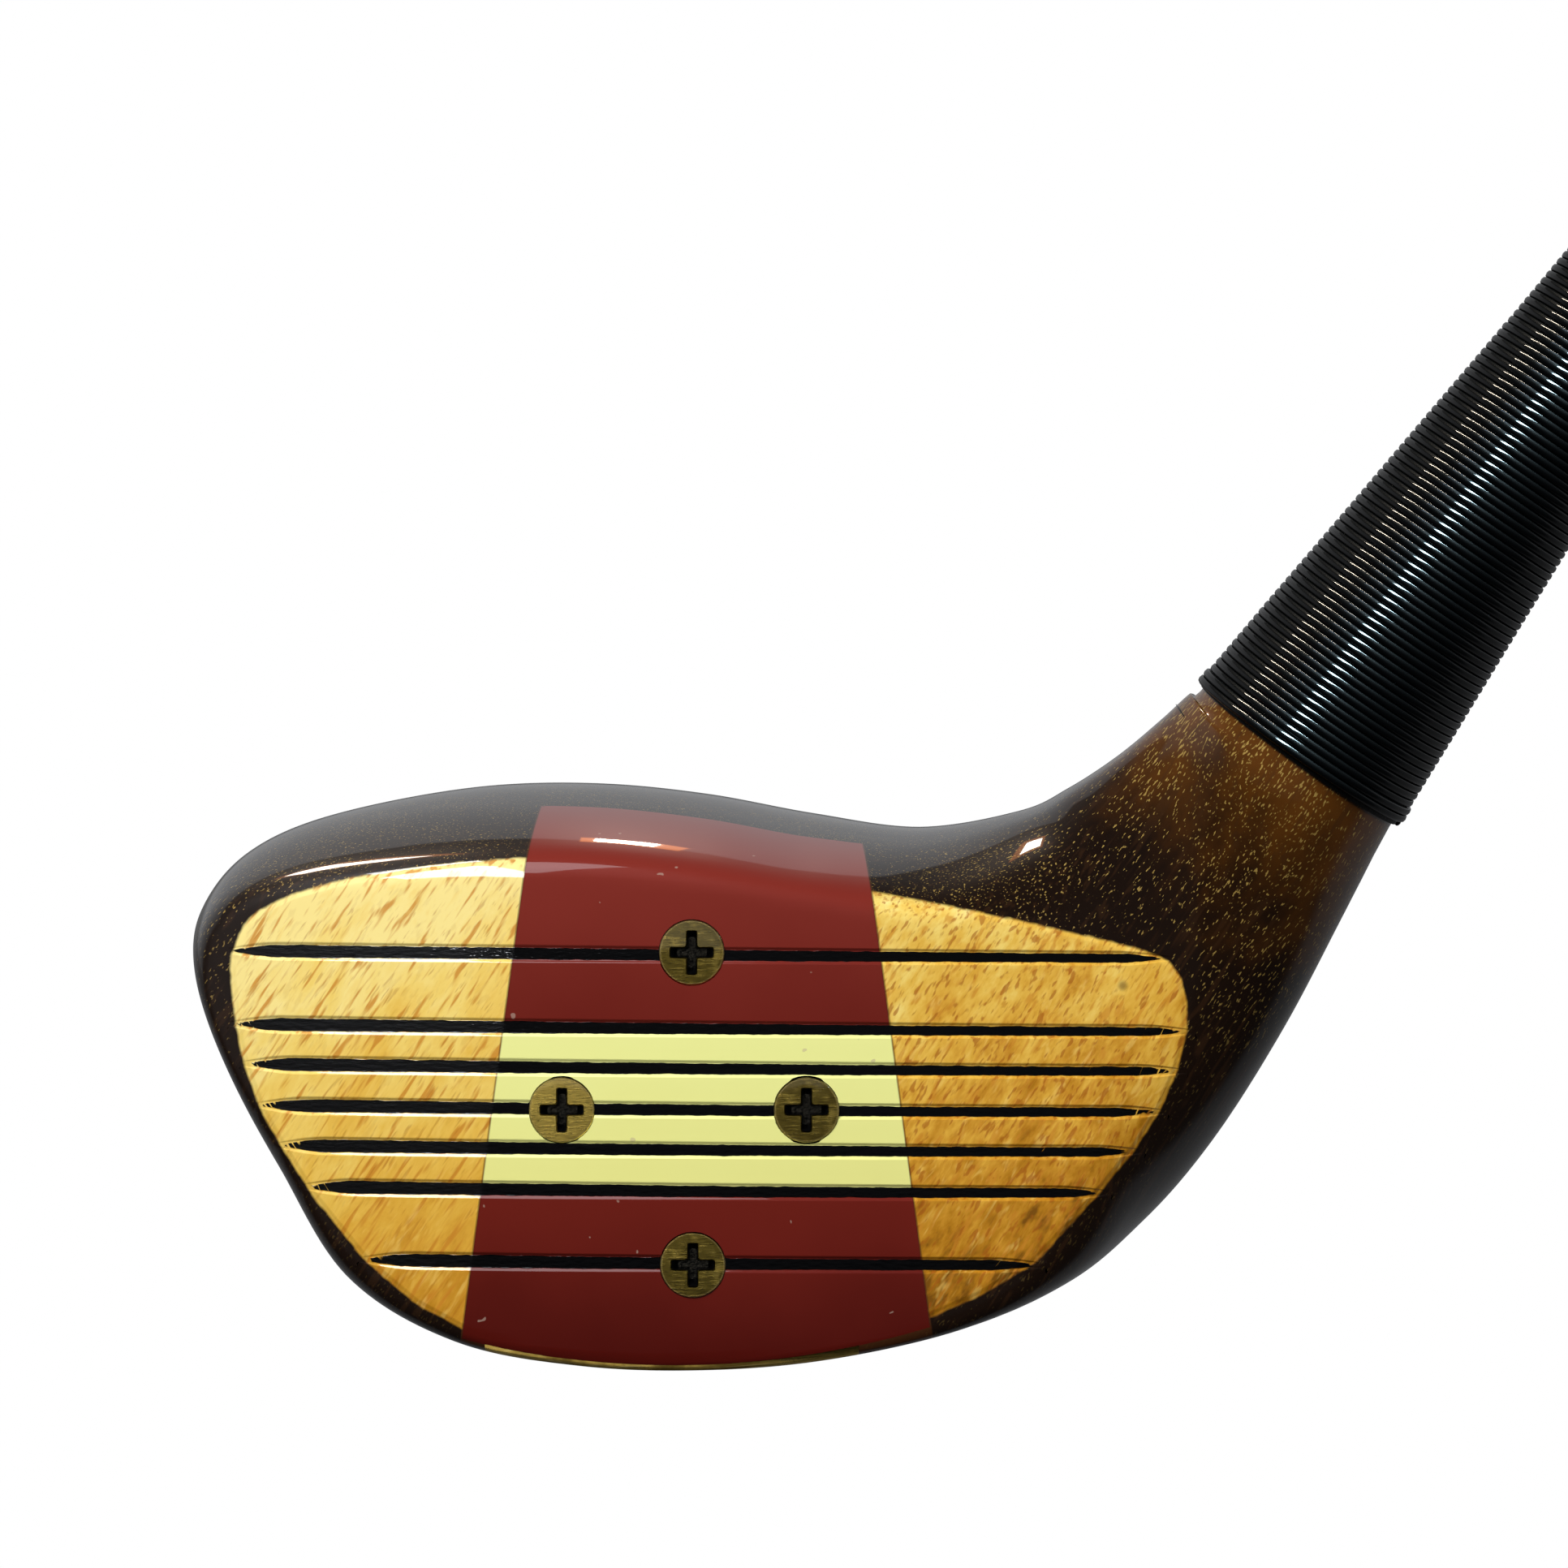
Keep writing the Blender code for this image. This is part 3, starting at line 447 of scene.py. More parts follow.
def outline_distance(outline, x, y):
    """Signed distance from a closed outline, less than nothing inside it."""
    corners = np.array(outline)
    nearest = np.full(len(x), 1e9)
    inside = np.zeros(len(x), bool)
    for (ax, ay), (bx, by) in zip(corners, np.roll(corners, -1, axis=0)):
        ex, ey = bx - ax, by - ay
        share = np.clip(((x - ax) * ex + (y - ay) * ey) / (ex * ex + ey * ey), 0, 1)
        nearest = np.minimum(nearest, np.hypot(x - ax - share * ex, y - ay - share * ey))
        if ay != by:
            inside ^= ((ay > y) != (by > y)) & (x < ax + (y - ay) / ey * ex)
    return np.where(inside, -nearest, nearest)


stain = outline_distance(PANEL, points[:, 0], face_height(*points.T))
stain = np.maximum(stain, behind_face(*points.T) - PANEL_WRAP)
stain = np.clip(stain, -STAIN_LIMIT, STAIN_LIMIT)


def place_mesh(name, mesh, place=Matrix()):
    """A new object of a mesh, standing in a frame."""
    obj = bpy.data.objects.new(name, mesh)
    bpy.context.scene.collection.objects.link(obj)
    obj.matrix_world = place
    return obj


def add_shell(name, part, inner_of):
    """A closed piece: one part of the skin, a copy of it further in, and walls between."""
    outer = [polygons[i] for i in np.nonzero(parts == part)[0]]
    used = sorted({i for face in outer for i in face})
    place_of = {old: new for new, old in enumerate(used)}
    outer = [[place_of[i] for i in face] for face in outer]
    count = len(used)
    whole = np.vstack((points[used], inner_of(points[used], normals[used])))
    edges = {(a, b) for face in outer for a, b in zip(face, face[1:] + face[:1])}
    rims = sorted((b, a, a + count, b + count) for a, b in edges if (b, a) not in edges)
    inner = [[i + count for i in reversed(face)] for face in outer]
    mesh = bpy.data.meshes.new(name)
    mesh.from_pydata((whole * MM).tolist(), [], outer + rims + inner)
    painted = paint[used]
    smooth, trough = normals[used].tolist(), trough_normals[used].tolist()
    depth = painted.tolist()
    corner_normals = []
    # Only faces inside a score line turn their normals down its walls.
    for face in outer:
        source = trough if sum(depth[i] for i in face) > 0.005 else smooth
        corner_normals += [source[i] for i in face]
    a, b, c, d = (whole[[face[k] for face in rims]] for k in range(4))
    for across in unit(np.cross(c - a, d - b)).tolist():
        corner_normals += [across] * 4
    for face in inner:
        corner_normals += [[-x for x in smooth[i - count]] for i in face]
    for key, values in (("paint", painted), ("stain", stain[used]), ("seam", seam[used])):
        layer = mesh.attributes.new(key, "FLOAT", "POINT")
        layer.data.foreach_set("value", np.tile(values, 2).astype(np.float32))
    mesh.shade_smooth()
    mesh.normals_split_custom_set(corner_normals)
    return place_mesh(name, mesh)


WOOD_WALL = 1.6
head = add_shell("head_wood", WOOD, lambda top, normal: top - normal * WOOD_WALL)
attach(head, "root")
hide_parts("head_body")


def colour(hex_code):
    """An sRGB hex colour as linear RGBA."""
    channels = [int(hex_code[i : i + 2], 16) / 255 for i in (0, 2, 4)]
    line = [c / 12.92 if c <= 0.04045 else ((c + 0.055) / 1.055) ** 2.4 for c in channels]
    return (*line, 1.0)


def plug(material, socket, value):
    """Gives a socket a number, a hex colour, a node's first output, or, from a pair of a
    node and a number, another of its outputs."""
    if isinstance(value, bpy.types.Node):
        value = (value, 0)
    if isinstance(value, tuple) and isinstance(value[0], bpy.types.Node):
        outputs = [output for output in value[0].outputs if output.enabled]
        material.node_tree.links.new(outputs[value[1]], socket)
    else:
        socket.default_value = colour(value) if isinstance(value, str) else value


def add(material, kind, *feeds, stops=None, **settings):
    """Adds a shader node with its settings. Feeds go into its sockets in order; None
    leaves one as it is. Stops fill a colour ramp."""
    made = material.node_tree.nodes.new("ShaderNode" + kind)
    for key, value in settings.items():
        setattr(made, key, value)
    if stops:
        ramp = made.color_ramp
        while len(ramp.elements) < len(stops):
            ramp.elements.new(0.5)
        for element, (at, shade) in zip(ramp.elements, stops):
            element.position = at
        for element, (at, shade) in zip(ramp.elements, stops):
            element.color = colour(shade) if isinstance(shade, str) else (shade,) * 3 + (1,)
    sockets = [socket for socket in made.inputs if socket.enabled]
    for socket, value in zip(sockets, feeds):
        if value is not None:
            plug(material, socket, value)
    return made


def feed(material, shader, **values):
    """Sets or links a shader's sockets, by their names with _ for spaces."""
    for key, value in values.items():
        plug(material, shader.inputs[key.replace("_", " ")], value)


def new_material(name, **uniform):
    """A material with its Principled shader and its coordinates in millimetres."""
    material = bpy.data.materials.new(name)
    material.use_nodes = True
    material.node_tree.nodes.clear()
    shader = add(material, "BsdfPrincipled")
    add(material, "OutputMaterial", shader)
    feed(material, shader, **uniform)
    place = add(material, "Mapping", (add(material, "TexCoord"), 3), None, None, (1000.0,) * 3)
    return material, shader, place


def grain(material, place, per_mm, detail=2.0, turn=0.0, roughness=0.5, distortion=0.0):
    """Noise with its own number of features per millimetre along X, Y and Z, turned
    about Y so that X can run along the grain."""
    turned = add(material, "Mapping", place, None, (0.0, turn, 0.0))
    scaled = add(material, "Mapping", turned, None, None, per_mm)
    return add(material, "TexNoise", scaled, 1.0, detail, roughness, None, distortion)


SMOOTH = {"interpolation_type": "SMOOTHSTEP"}
TIMES, PLUS, TIMES_PLUS = ({"operation": o} for o in ("MULTIPLY", "ADD", "MULTIPLY_ADD"))
BLEND = {"data_type": "RGBA"}
LACQUER = {"Coat_Weight": 1.0, "Coat_Roughness": 0.03, "Specular_IOR_Level": 0.2}


def add_filler(material, place, under):
    """Glossy black paint in the score lines, a little ragged at its edges; returns the
    colour with it and how much of it there is."""
    depth = add(material, "Attribute", attribute_name="paint")
    ragged = grain(material, place, (0.9,) * 3, 3.0)
    ragged = add(material, "Math", ragged, 0.2, -0.38, **TIMES_PLUS)
    level = add(material, "Math", (depth, 2), ragged, **PLUS)
    filled = add(material, "MapRange", level, -0.02, 0.03, **SMOOTH)
    return add(material, "Mix", filled, under, "020203", **BLEND), filled


def add_relief(material, shader, place, filled, step=0.0):
    """The lacquer's slow waves, and the grain of the dried paint in the score lines."""
    waves = add(material, "Math", grain(material, place, (0.16,) * 3, 1.0), 0.03, **TIMES)
    grit = add(material, "Math", grain(material, place, (1.2, 4.0, 4.0)), 0.05, **TIMES)
    grit = add(material, "Math", filled, grit, waves, **TIMES_PLUS)
    height = add(material, "Math", grit, step, **PLUS)
    relief = add(material, "Bump", 1.0, MM, None, height)
    feed(material, shader, Normal=relief, Coat_Normal=relief)


# Clear grain: pale honey high on the toe's side, with painted shade darkening it downwards
# and to the heel; long streaks on the toe's side, short pores on the heel's.
wood, wood_shader, wood_mm = new_material("stained_lacquered_wood", Roughness=0.45, **LACQUER)
FACE_GRAIN = math.radians(57)
axes = add(wood, "SeparateXYZ", wood_mm)
heelward = add(wood, "MapRange", axes, -10.0, 12.0, **SMOOTH)
# Painted shade: the honey darkens downwards and towards the heel.
painted_shade_slope = add(wood, "VectorMath", wood_mm, (0.006, 0.0, -0.0215), operation="DOT_PRODUCT")
mottle = grain(wood, wood_mm, (0.1, 0.3, 0.3), 5.0, FACE_GRAIN, 0.65, 0.5)
depth = add(wood, "Math", mottle, 0.8, painted_shade_slope, **TIMES_PLUS)
fine_share = add(wood, "Math", heelward, 0.55, 0.22, **TIMES_PLUS)
fine_mottle = grain(wood, wood_mm, (0.4, 1.1, 1.1), 3.0, FACE_GRAIN, 0.6)
depth = add(wood, "Math", fine_mottle, fine_share, depth, **TIMES_PLUS)
depth = add(wood, "Math", fine_share, -0.5, depth, **TIMES_PLUS)
honey = add(
    wood,
    "ValToRGB",
    add(wood, "Math", depth, 0.53, **PLUS),
    stops=(
        (0.0, "F9E38F"), (0.2, "F3D36E"), (0.38, "E9BC4E"), (0.55, "DEA93B"), (0.7, "CB9027"),
        (0.84, "B57A15"), (1.0, "7E5009"),
    ),
)
# Streaks, glints, pores and dashes over the honey: features per millimetre, detail,
# roughness and distortion, where each starts and is full, its strength on the toe's side
# and how much more it has on the heel's, and its tint.
clear_wood = honey
layers = []
for per_mm, detail, roughness, distortion, start, full, strength, more, tint in (
    ((0.085, 2.1, 2.1), 1.5, 0.5, 0.0, 0.54, 0.68, 0.85, -0.25, "CB8526"),
    ((0.3, 1.5, 1.5), 2.0, 0.6, 0.4, 0.56, 0.72, 0.4, 0.0, "F3CF6C"),
    ((0.22, 3.2, 3.2), 2.0, 0.5, 0.0, 0.60, 0.70, 0.4, 0.0, "B06A18"),
    ((0.6, 2.6, 2.6), 1.5, 0.5, 0.0, 0.57, 0.67, 0.1, 0.55, "A4570F"),
):
    layer = grain(wood, wood_mm, per_mm, detail, FACE_GRAIN, roughness, distortion)
    layer = add(wood, "MapRange", layer, start, full, **SMOOTH)
    layers.append(layer)
    share = add(wood, "Math", heelward, more, strength, **TIMES_PLUS)
    share = add(wood, "Math", layer, share, **TIMES)
    clear_wood = add(wood, "Mix", share, clear_wood, tint, **BLEND)
# One small dark knot on the heel's side.
KNOT = (34.8, -22.4, 30.4)
to_knot = add(wood, "VectorMath", wood_mm, KNOT, operation="DISTANCE")
knot = add(wood, "MapRange", to_knot, 0.6, 0.15, 0.0, 0.6, **SMOOTH)
clear_wood = add(wood, "Mix", knot, clear_wood, "4A2A10", **BLEND)

# Dark stain: nearly black low on the heel, brown where it thins towards the neck, with
# the pores showing as fine gold dashes.
cloud = grain(wood, wood_mm, (0.12, 0.2, 0.2), 4.0, LIE, 0.6)
up_neck = add(wood, "SeparateXYZ", add(wood, "Mapping", wood_mm, None, (0.0, LIE, 0.0)))
browning = add(wood, "Math", cloud, 26.0, up_neck, **TIMES_PLUS)
browning = add(wood, "MapRange", browning, 64.0, 84.0, **SMOOTH)
dark_wood = add(wood, "Mix", browning, "170C06", "5E360C", **BLEND)
share = add(wood, "Math", layers[0], 0.35, **TIMES)
dark_wood = add(wood, "Mix", share, dark_wood, "3A2412", **BLEND)
patch = add(wood, "Math", grain(wood, wood_mm, (0.15,) * 3), 0.16, **TIMES)
fleck = add(wood, "Math", grain(wood, wood_mm, (1.9, 6.5, 6.5), 1.0, LIE), patch, **PLUS)
fleck = add(wood, "Math", browning, 0.03, fleck, **TIMES_PLUS)
fleck = add(wood, "MapRange", fleck, 0.73, 0.785, **SMOOTH)
lifted = add(wood, "MapRange", (axes, 2), 18.0, 40.0, 0.1, 0.85, **SMOOTH)
share = add(wood, "Math", fleck, lifted, **TIMES)
dark_wood = add(wood, "Mix", share, dark_wood, "A68A48", **BLEND)

stain_depth = add(wood, "Attribute", attribute_name="stain")
creep = add(wood, "Math", grain(wood, wood_mm, (0.8,) * 3, 3.0), 0.35, -0.17, **TIMES_PLUS)
creep = add(wood, "Math", (stain_depth, 2), creep, **PLUS)
stained = add(wood, "MapRange", creep, -0.16, 0.14, **SMOOTH)
shade = add(wood, "Mix", stained, clear_wood, dark_wood, **BLEND)
seam_gap = add(wood, "Attribute", attribute_name="seam")
glue_line = add(wood, "MapRange", (seam_gap, 2), 0.16, 0.04, 0.0, 0.7, **SMOOTH)
shade = add(wood, "Mix", glue_line, shade, "4A2810", **BLEND)
shade, filled = add_filler(wood, wood_mm, shade)
feed(wood, wood_shader, Base_Color=shade)
# The lacquer dips by a hair where it meets the stain.
step = add(wood, "MapRange", (stain_depth, 2), -0.5, -0.05, 0.0, -0.1, **SMOOTH)
add_relief(wood, wood_shader, wood_mm, filled, step)
head.data.materials.append(wood)

# ---- face insert -----------------------------------------------------------------------
# Three slabs of cast plastic, red, cream and red, glued one on another into the slot and
# sanded flush with the wood; the upper one laps over the edge of the crown.
LAP_HEIGHT = 40.0
LAP_SHARE = 0.25
# How far the slabs' haze moves their painted shading up or down.
HAZE_SPREAD = 8.0


def to_slot_back(top, normal):
    """The slab's back: flat against the slot's back, drawn in below the crown."""
    deep = (top - FACE_POINT) @ FACE_IN
    height = (top - FACE_POINT) @ FACE_UP
    lapped = LAP_HEIGHT + (height - LAP_HEIGHT) * LAP_SHARE
    lowered = np.where(height > LAP_HEIGHT, lapped, height)
    push = INSERT_DEPTH + lowered * math.tan(INSERT_BACK_LEAN) - deep
    return top + FACE_IN * push[:, None] + FACE_UP * (lowered - height)[:, None]


slabs = []
# Each slab's low and high tints are painted shade: lighter upwards, and the lower red slab darker
# than the upper.
for name, part, slot, low, high, low_tint, high_tint in (
    ("insert_upper", UPPER, "insert_red", 22, 42, "661A12", "7E2B22"),
    ("insert_centre", CENTRE, "insert_cream", 12, 30, "EDEB90", "F1F39C"),
    ("insert_lower", LOWER, "insert_red", 0, 15, "4E0E08", "6C1D14"),
):
    slab = add_shell(name + "_slab", part, to_slot_back)
    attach(slab, "root")
    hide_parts(name)
    plastic, plastic_shader, plastic_mm = new_material(
        name + "_cast_plastic", Roughness=0.35, **LACQUER
    )
    # Cast plastic: a cloudy tint under lacquer, with painted shade that leaves it a little
    # lighter upwards, a few specks of dust in it and a dark line of glue where it meets the wood.
    haze = grain(plastic, plastic_mm, (0.1,) * 3, 3.0)
    height = (add(plastic, "SeparateXYZ", plastic_mm), 2)
    level = add(plastic, "Math", haze, HAZE_SPREAD, height, **TIMES_PLUS)
    middle = HAZE_SPREAD / 2
    level = add(plastic, "MapRange", level, low + middle, high + middle, **SMOOTH)
    shade = add(plastic, "Mix", level, low_tint, high_tint, **BLEND)
    dust = grain(plastic, plastic_mm, (1.3,) * 3, 0.0)
    dust = add(plastic, "MapRange", dust, 0.855, 0.875, 0.0, 0.45, **SMOOTH)
    shade = add(plastic, "Mix", dust, shade, "B8A090", **BLEND)
    seam_gap = add(plastic, "Attribute", attribute_name="seam")
    glue_line = add(plastic, "MapRange", (seam_gap, 2), -0.1, 0.0, 0.0, 0.6, **SMOOTH)
    shade = add(plastic, "Mix", glue_line, shade, "3A1A10", **BLEND)
    shade, filled = add_filler(plastic, plastic_mm, shade)
    feed(plastic, plastic_shader, Base_Color=shade)
    add_relief(plastic, plastic_shader, plastic_mm, filled)
    slab.data.materials.append(plastic)
    slabs.append(slab)

# ---- sole plate ------------------------------------------------------------------------
# A brass casting let into the sole under the insert and filed to its camber; five
# screws hold it.
PLATE_THINNEST = 0.02


def to_plate_back(top, normal):
    """The plate's upper side: a roll above the sole, thin in front and thicker behind."""
    rise = (top[:, 0] - SOLE_MIDDLE_X) ** 2 / (2 * SOLE_CAMBER_RADIUS)
    level = PLATE_FRONT_THICKNESS + (top[:, 1] - FACE_POINT[1]) * PLATE_RISE + rise
    back = top.copy()
    back[:, 2] = np.maximum(level, top[:, 2] + PLATE_THINNEST)
    return back


plate = add_shell("sole_plate_casting", PLATE, to_plate_back)
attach(plate, "root")
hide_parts("sole_plate")
# Filed brass: dull gold with fine scratches from heel to toe, darker where tarnished.
plate_brass, plate_shader, plate_mm = new_material("filed_brass", Metallic=1.0)
scratch = grain(plate_brass, plate_mm, (0.08, 5.0, 5.0), 3.0, math.radians(4))
tarnish = grain(plate_brass, plate_mm, (0.12,) * 3, 5.0, roughness=0.65)
tarnish = add(plate_brass, "MapRange", tarnish, 0.42, 0.62, **SMOOTH)
shade = add(plate_brass, "Mix", tarnish, "B79A4B", "80682C", **BLEND)
share = add(plate_brass, "MapRange", scratch, 0.52, 0.7, 0.0, 0.5, **SMOOTH)
shade = add(plate_brass, "Mix", share, shade, "D9C27C", **BLEND)
gloss = add(plate_brass, "MapRange", tarnish, 0.0, 1.0, 0.26, 0.44)
height = add(plate_brass, "Math", scratch, 0.02, **TIMES)
relief = add(plate_brass, "Bump", 1.0, MM, None, height)
feed(plate_brass, plate_shader, Base_Color=shade, Roughness=gloss, Normal=relief)
plate.data.materials.append(plate_brass)

# ---- brass screws ----------------------------------------------------------------------
# Countersunk cross-head wood screws, turned from brass bar: four hold the insert, five
# hold the sole plate. The insert's were filed flush with the face and lacquered over.


def frame_matrix(at, out):
    """A frame in metres at a point in millimetres, with local Z along out."""
    out = Vector(out).normalized()
    side = Vector((0, 1, 0)).cross(out)
    side = Vector((1, 0, 0)) if side.length < 0.2 else side.normalized()
    turned = Matrix((side, out.cross(side), out)).transposed().to_4x4()
    return Matrix.Translation(Vector(at) * MM) @ turned


def closed_faces(rows, columns):
    """The faces of a grid run upwards, turned outwards, with both its ends filled."""
    faces = [[a, d, c, b] for a, b, c, d in grid_faces(rows, columns)]
    faces.append(list(reversed(range(columns))))
    faces.append([(rows - 1) * columns + i for i in range(columns)])
    return faces


def add_turned(name, profile, segments, place, ring=False, sharp=30.0, grow=None):
    """Turns a profile of (radius, z) in millimetres about local Z, from bottom to top; a
    ring's goes up outside and down inside. Grow may change a radius by turn and z."""
    profile = np.array(profile, float)
    turn = np.linspace(0, 2 * math.pi, segments + 1)[:-1]
    radius = np.repeat(profile[:, :1], segments, axis=1)
    z = np.repeat(profile[:, 1:], segments, axis=1)
    if grow:
        radius = radius + grow(np.tile(turn, (len(profile), 1)), z, radius)
    grid = np.stack((radius * np.cos(turn), radius * np.sin(turn), z), axis=2)
    rows = len(profile)
    if ring:
        spun = grid_faces(rows + 1, segments)
        faces = [[i % (rows * segments) for i in (a, d, c, b)] for a, b, c, d in spun]
    else:
        faces = closed_faces(rows, segments)
    mesh = bpy.data.meshes.new(name)
    mesh.from_pydata((grid.reshape(-1, 3) * MM).tolist(), [], faces)
    mesh.shade_smooth()
    mesh.set_sharp_from_angle(angle=math.radians(sharp))
    return place_mesh(name, mesh, place)


CORNER_STEPS = 4


def rounded(corners, radius):
    """An outline with its corners rounded off."""
    outline = []
    count = len(corners)
    for i in range(count):
        here = Vector(corners[i])
        before = (Vector(corners[i - 1]) - here).normalized()
        after = (Vector(corners[(i + 1) % count]) - here).normalized()
        start, end = here + before * radius, here + after * radius
        for step in range(CORNER_STEPS + 1):
            t = step / CORNER_STEPS
            outline.append((1 - t) ** 2 * start + 2 * t * (1 - t) * here + t * t * end)
    return outline


CROSS_HALF_LENGTH = 1.7
CROSS_HALF_WIDTH = 0.37
CROSS_DEPTH = 1.3
CROSS_LIP = 0.11
CROSS_CORNER_RADIUS = 0.2
CROSS_FOOT_SHARE = 0.72


def cross_outline(grow, share=1.0):
    """The cross, scaled by a share and then widened all round."""
    corners = []
    long, half = CROSS_HALF_LENGTH * share + grow, CROSS_HALF_WIDTH * share + grow
    for quarter in range(4):
        c, s = math.cos(quarter * math.pi / 2), math.sin(quarter * math.pi / 2)
        for x, y in ((long, -half), (long, half), (half, half)):
            corners.append((x * c - y * s, x * s + y * c))
    return rounded(corners, CROSS_CORNER_RADIUS * share)


def cross_cutter(name, place, metal):
    """The recess for the screwdriver: bevelled at its mouth, narrowing downwards."""
    levels = (
        (1.0, cross_outline(CROSS_LIP)),
        (0.05, cross_outline(CROSS_LIP)),
        (-CROSS_LIP, cross_outline(0.0)),
        (-CROSS_DEPTH, cross_outline(0.0, CROSS_FOOT_SHARE)),
    )
    count = len(levels[0][1])
    corners = [(p.x * MM, p.y * MM, z * MM) for z, outline in reversed(levels) for p in outline]
    mesh = bpy.data.meshes.new(name)
    mesh.from_pydata(corners, [], closed_faces(len(levels), count))
    for slot in (metal, recess_paint):
        mesh.materials.append(slot)
    for face in mesh.polygons:
        face.material_index = 1 if face.center.z < -CROSS_LIP * MM else 0
    return place_mesh(name, mesh, place)


SCREW_SHANK_RADIUS = 1.4
RIDGE_PITCH = 0.5
BROKEN_EDGE = 0.07
SCREW_SHARP = 24.0


def add_screw(name, place, length, metal, above=0.0):
    """A screw with a softly broken rim, a countersunk neck and a ridged shank; above is
    how far its head stands proud."""
    head, shank = SCREW_HEAD_RADIUS, SCREW_SHANK_RADIUS
    profile = [(0.2, -length), (shank * 0.55, -length + 1.6)]
    for z in np.arange(-length + 2.0, -length * 0.42, RIDGE_PITCH):
        core = shank * min(1.0, 0.62 + (z + length) * 0.12)
        profile += [(core * 0.8, z), (core, z + RIDGE_PITCH / 2)]
    profile += [(shank, -length * 0.4), (shank, -head * 0.62), (head, -0.25)]
    profile += [(head, above - BROKEN_EDGE), (head - BROKEN_EDGE, above)]
    profile += [(head - 0.5, above + 0.015), (0.3, above + 0.03)]
    screw = add_turned(name, profile, 48, place, sharp=SCREW_SHARP)
    for slot in (metal, recess_paint):
        screw.data.materials.append(slot)
    mouth = place @ Matrix.Translation((0, 0, above * MM))
    cutter = cross_cutter(name + "_cutter", mouth, metal)
    cut = screw.modifiers.new("cross", "BOOLEAN")
    cut.object = cutter
    cut.operation = "DIFFERENCE"
    bpy.context.view_layer.update()
    shaped = screw.evaluated_get(bpy.context.evaluated_depsgraph_get())
    mesh = bpy.data.meshes.new_from_object(shaped)
    screw.modifiers.clear()
    screw.data = mesh
    mesh.shade_smooth()
    mesh.set_sharp_from_angle(angle=math.radians(SCREW_SHARP))
    bpy.data.objects.remove(cutter)
    return screw


def blotched_finish(name, blotch, tints, gloss, marks, depth, **uniform):
    """A finish of two tints in blotches. Gloss is the span of the blotches and the
    roughness at its ends; marks are the grain of the relief, and depth is in mm."""
    made, shader, place = new_material(name, **uniform)
    blotches = grain(made, place, *blotch)
    relief = add(made, "Math", grain(made, place, *marks), depth, **TIMES)
    relief = add(made, "Bump", 1.0, MM, None, relief)
    shade = add(made, "Mix", blotches, *tints, **BLEND)
    feed(made, shader, Base_Color=shade, Normal=relief)
    if gloss:
        feed(made, shader, Roughness=add(made, "MapRange", blotches, *gloss))
    return made


# Paint left in the screwdriver's recess: black, thick and glossy, with a crazed surface.
crust = ((3.5,) * 3, 3.0)
recess_paint = blotched_finish(
    "black_filler", crust, ("020202", "0B0B0C"), None, crust, 0.12, Roughness=0.22
)
# The place of a painted highlight that brightens the metal, in metres, so that no two
# screws are as bright.
HIGHLIGHT_PLACE = (-0.0099, -0.0257, 0.0211)


def brushed_metal(name, worn_and_highlight, dull, edge, gloss):
    """Metal filed flat: streaks one way over the head and blotches of tarnish under the
    lacquer, a painted highlight round one place, and a pale painted highlight at the rim
    in the tint edge."""
    metal, shader, place = new_material(name, Metallic=1.0, Coat_Weight=0.5, Coat_Roughness=0.05)
    streak = grain(metal, place, (0.8, 11.0, 11.0), 3.0, roughness=0.6)
    blotch = grain(metal, place, (0.7,) * 3, 3.0)
    share = add(metal, "Math", blotch, 0.6, **TIMES)
    share = add(metal, "Math", streak, 0.4, share, **TIMES_PLUS)
    # Painted highlight: the metal turns to its bright tint round one place.
    patch = add(metal, "NewGeometry")
    patch = add(metal, "VectorMath", patch, HIGHLIGHT_PLACE, operation="DISTANCE")
    patch = add(metal, "MapRange", patch, 0.009, 0.002, 0.0, 0.3, **SMOOTH)
    share = add(metal, "Math", share, patch, **PLUS)
    share = add(metal, "MapRange", share, 0.47, 0.75, **SMOOTH)
    shade = add(metal, "Mix", share, dull, worn_and_highlight, **BLEND)
    # Painted highlight: a pale ring just inside the rim.
    flat = add(metal, "VectorMath", place, (1.0, 1.0, 0.0), operation="MULTIPLY")
    rim_highlight = add(metal, "VectorMath", flat, operation="LENGTH")
    highlight_start, highlight_full = SCREW_HEAD_RADIUS - 0.22, SCREW_HEAD_RADIUS - 0.1
    rim_highlight = add(metal, "MapRange", rim_highlight, highlight_start, highlight_full, 0.0, 0.55, **SMOOTH)
    shade = add(metal, "Mix", rim_highlight, shade, edge, **BLEND)
    rough = add(metal, "MapRange", streak, 0.3, 0.7, gloss + 0.08, gloss - 0.06)
    relief = add(metal, "Bump", 1.0, MM, None, add(metal, "Math", streak, 0.03, **TIMES))
    feed(metal, shader, Base_Color=shade, Roughness=rough, Normal=relief)
    return metal


HEAD_PROUD = 0.03
# Tints: bright for wear and the painted highlight, dull, and the rim's painted highlight.
screw_brass = brushed_metal("filed_screw_brass", "F2D976", "86783A", "E6D08A", 0.3)
for name, (at, out, length) in screw_frames.items():
    place = frame_matrix(at, out)
    screw = add_screw(name + "_turned", place, length, screw_brass, HEAD_PROUD)
    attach(screw, "root")
    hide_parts(name)

# ---- whipping --------------------------------------------------------------------------
# Waxed black thread wound tight over the neck and the ferrule's foot, one layer, with the
# first turns wound over its own tucked-in end.
THREAD_PITCH = 0.667
THREAD_RADIUS = 0.33
WHIPPING_START = 0.3
WHIPPING_END = 51.9
TURN_POINTS = 56
THREAD_SIDES = 8
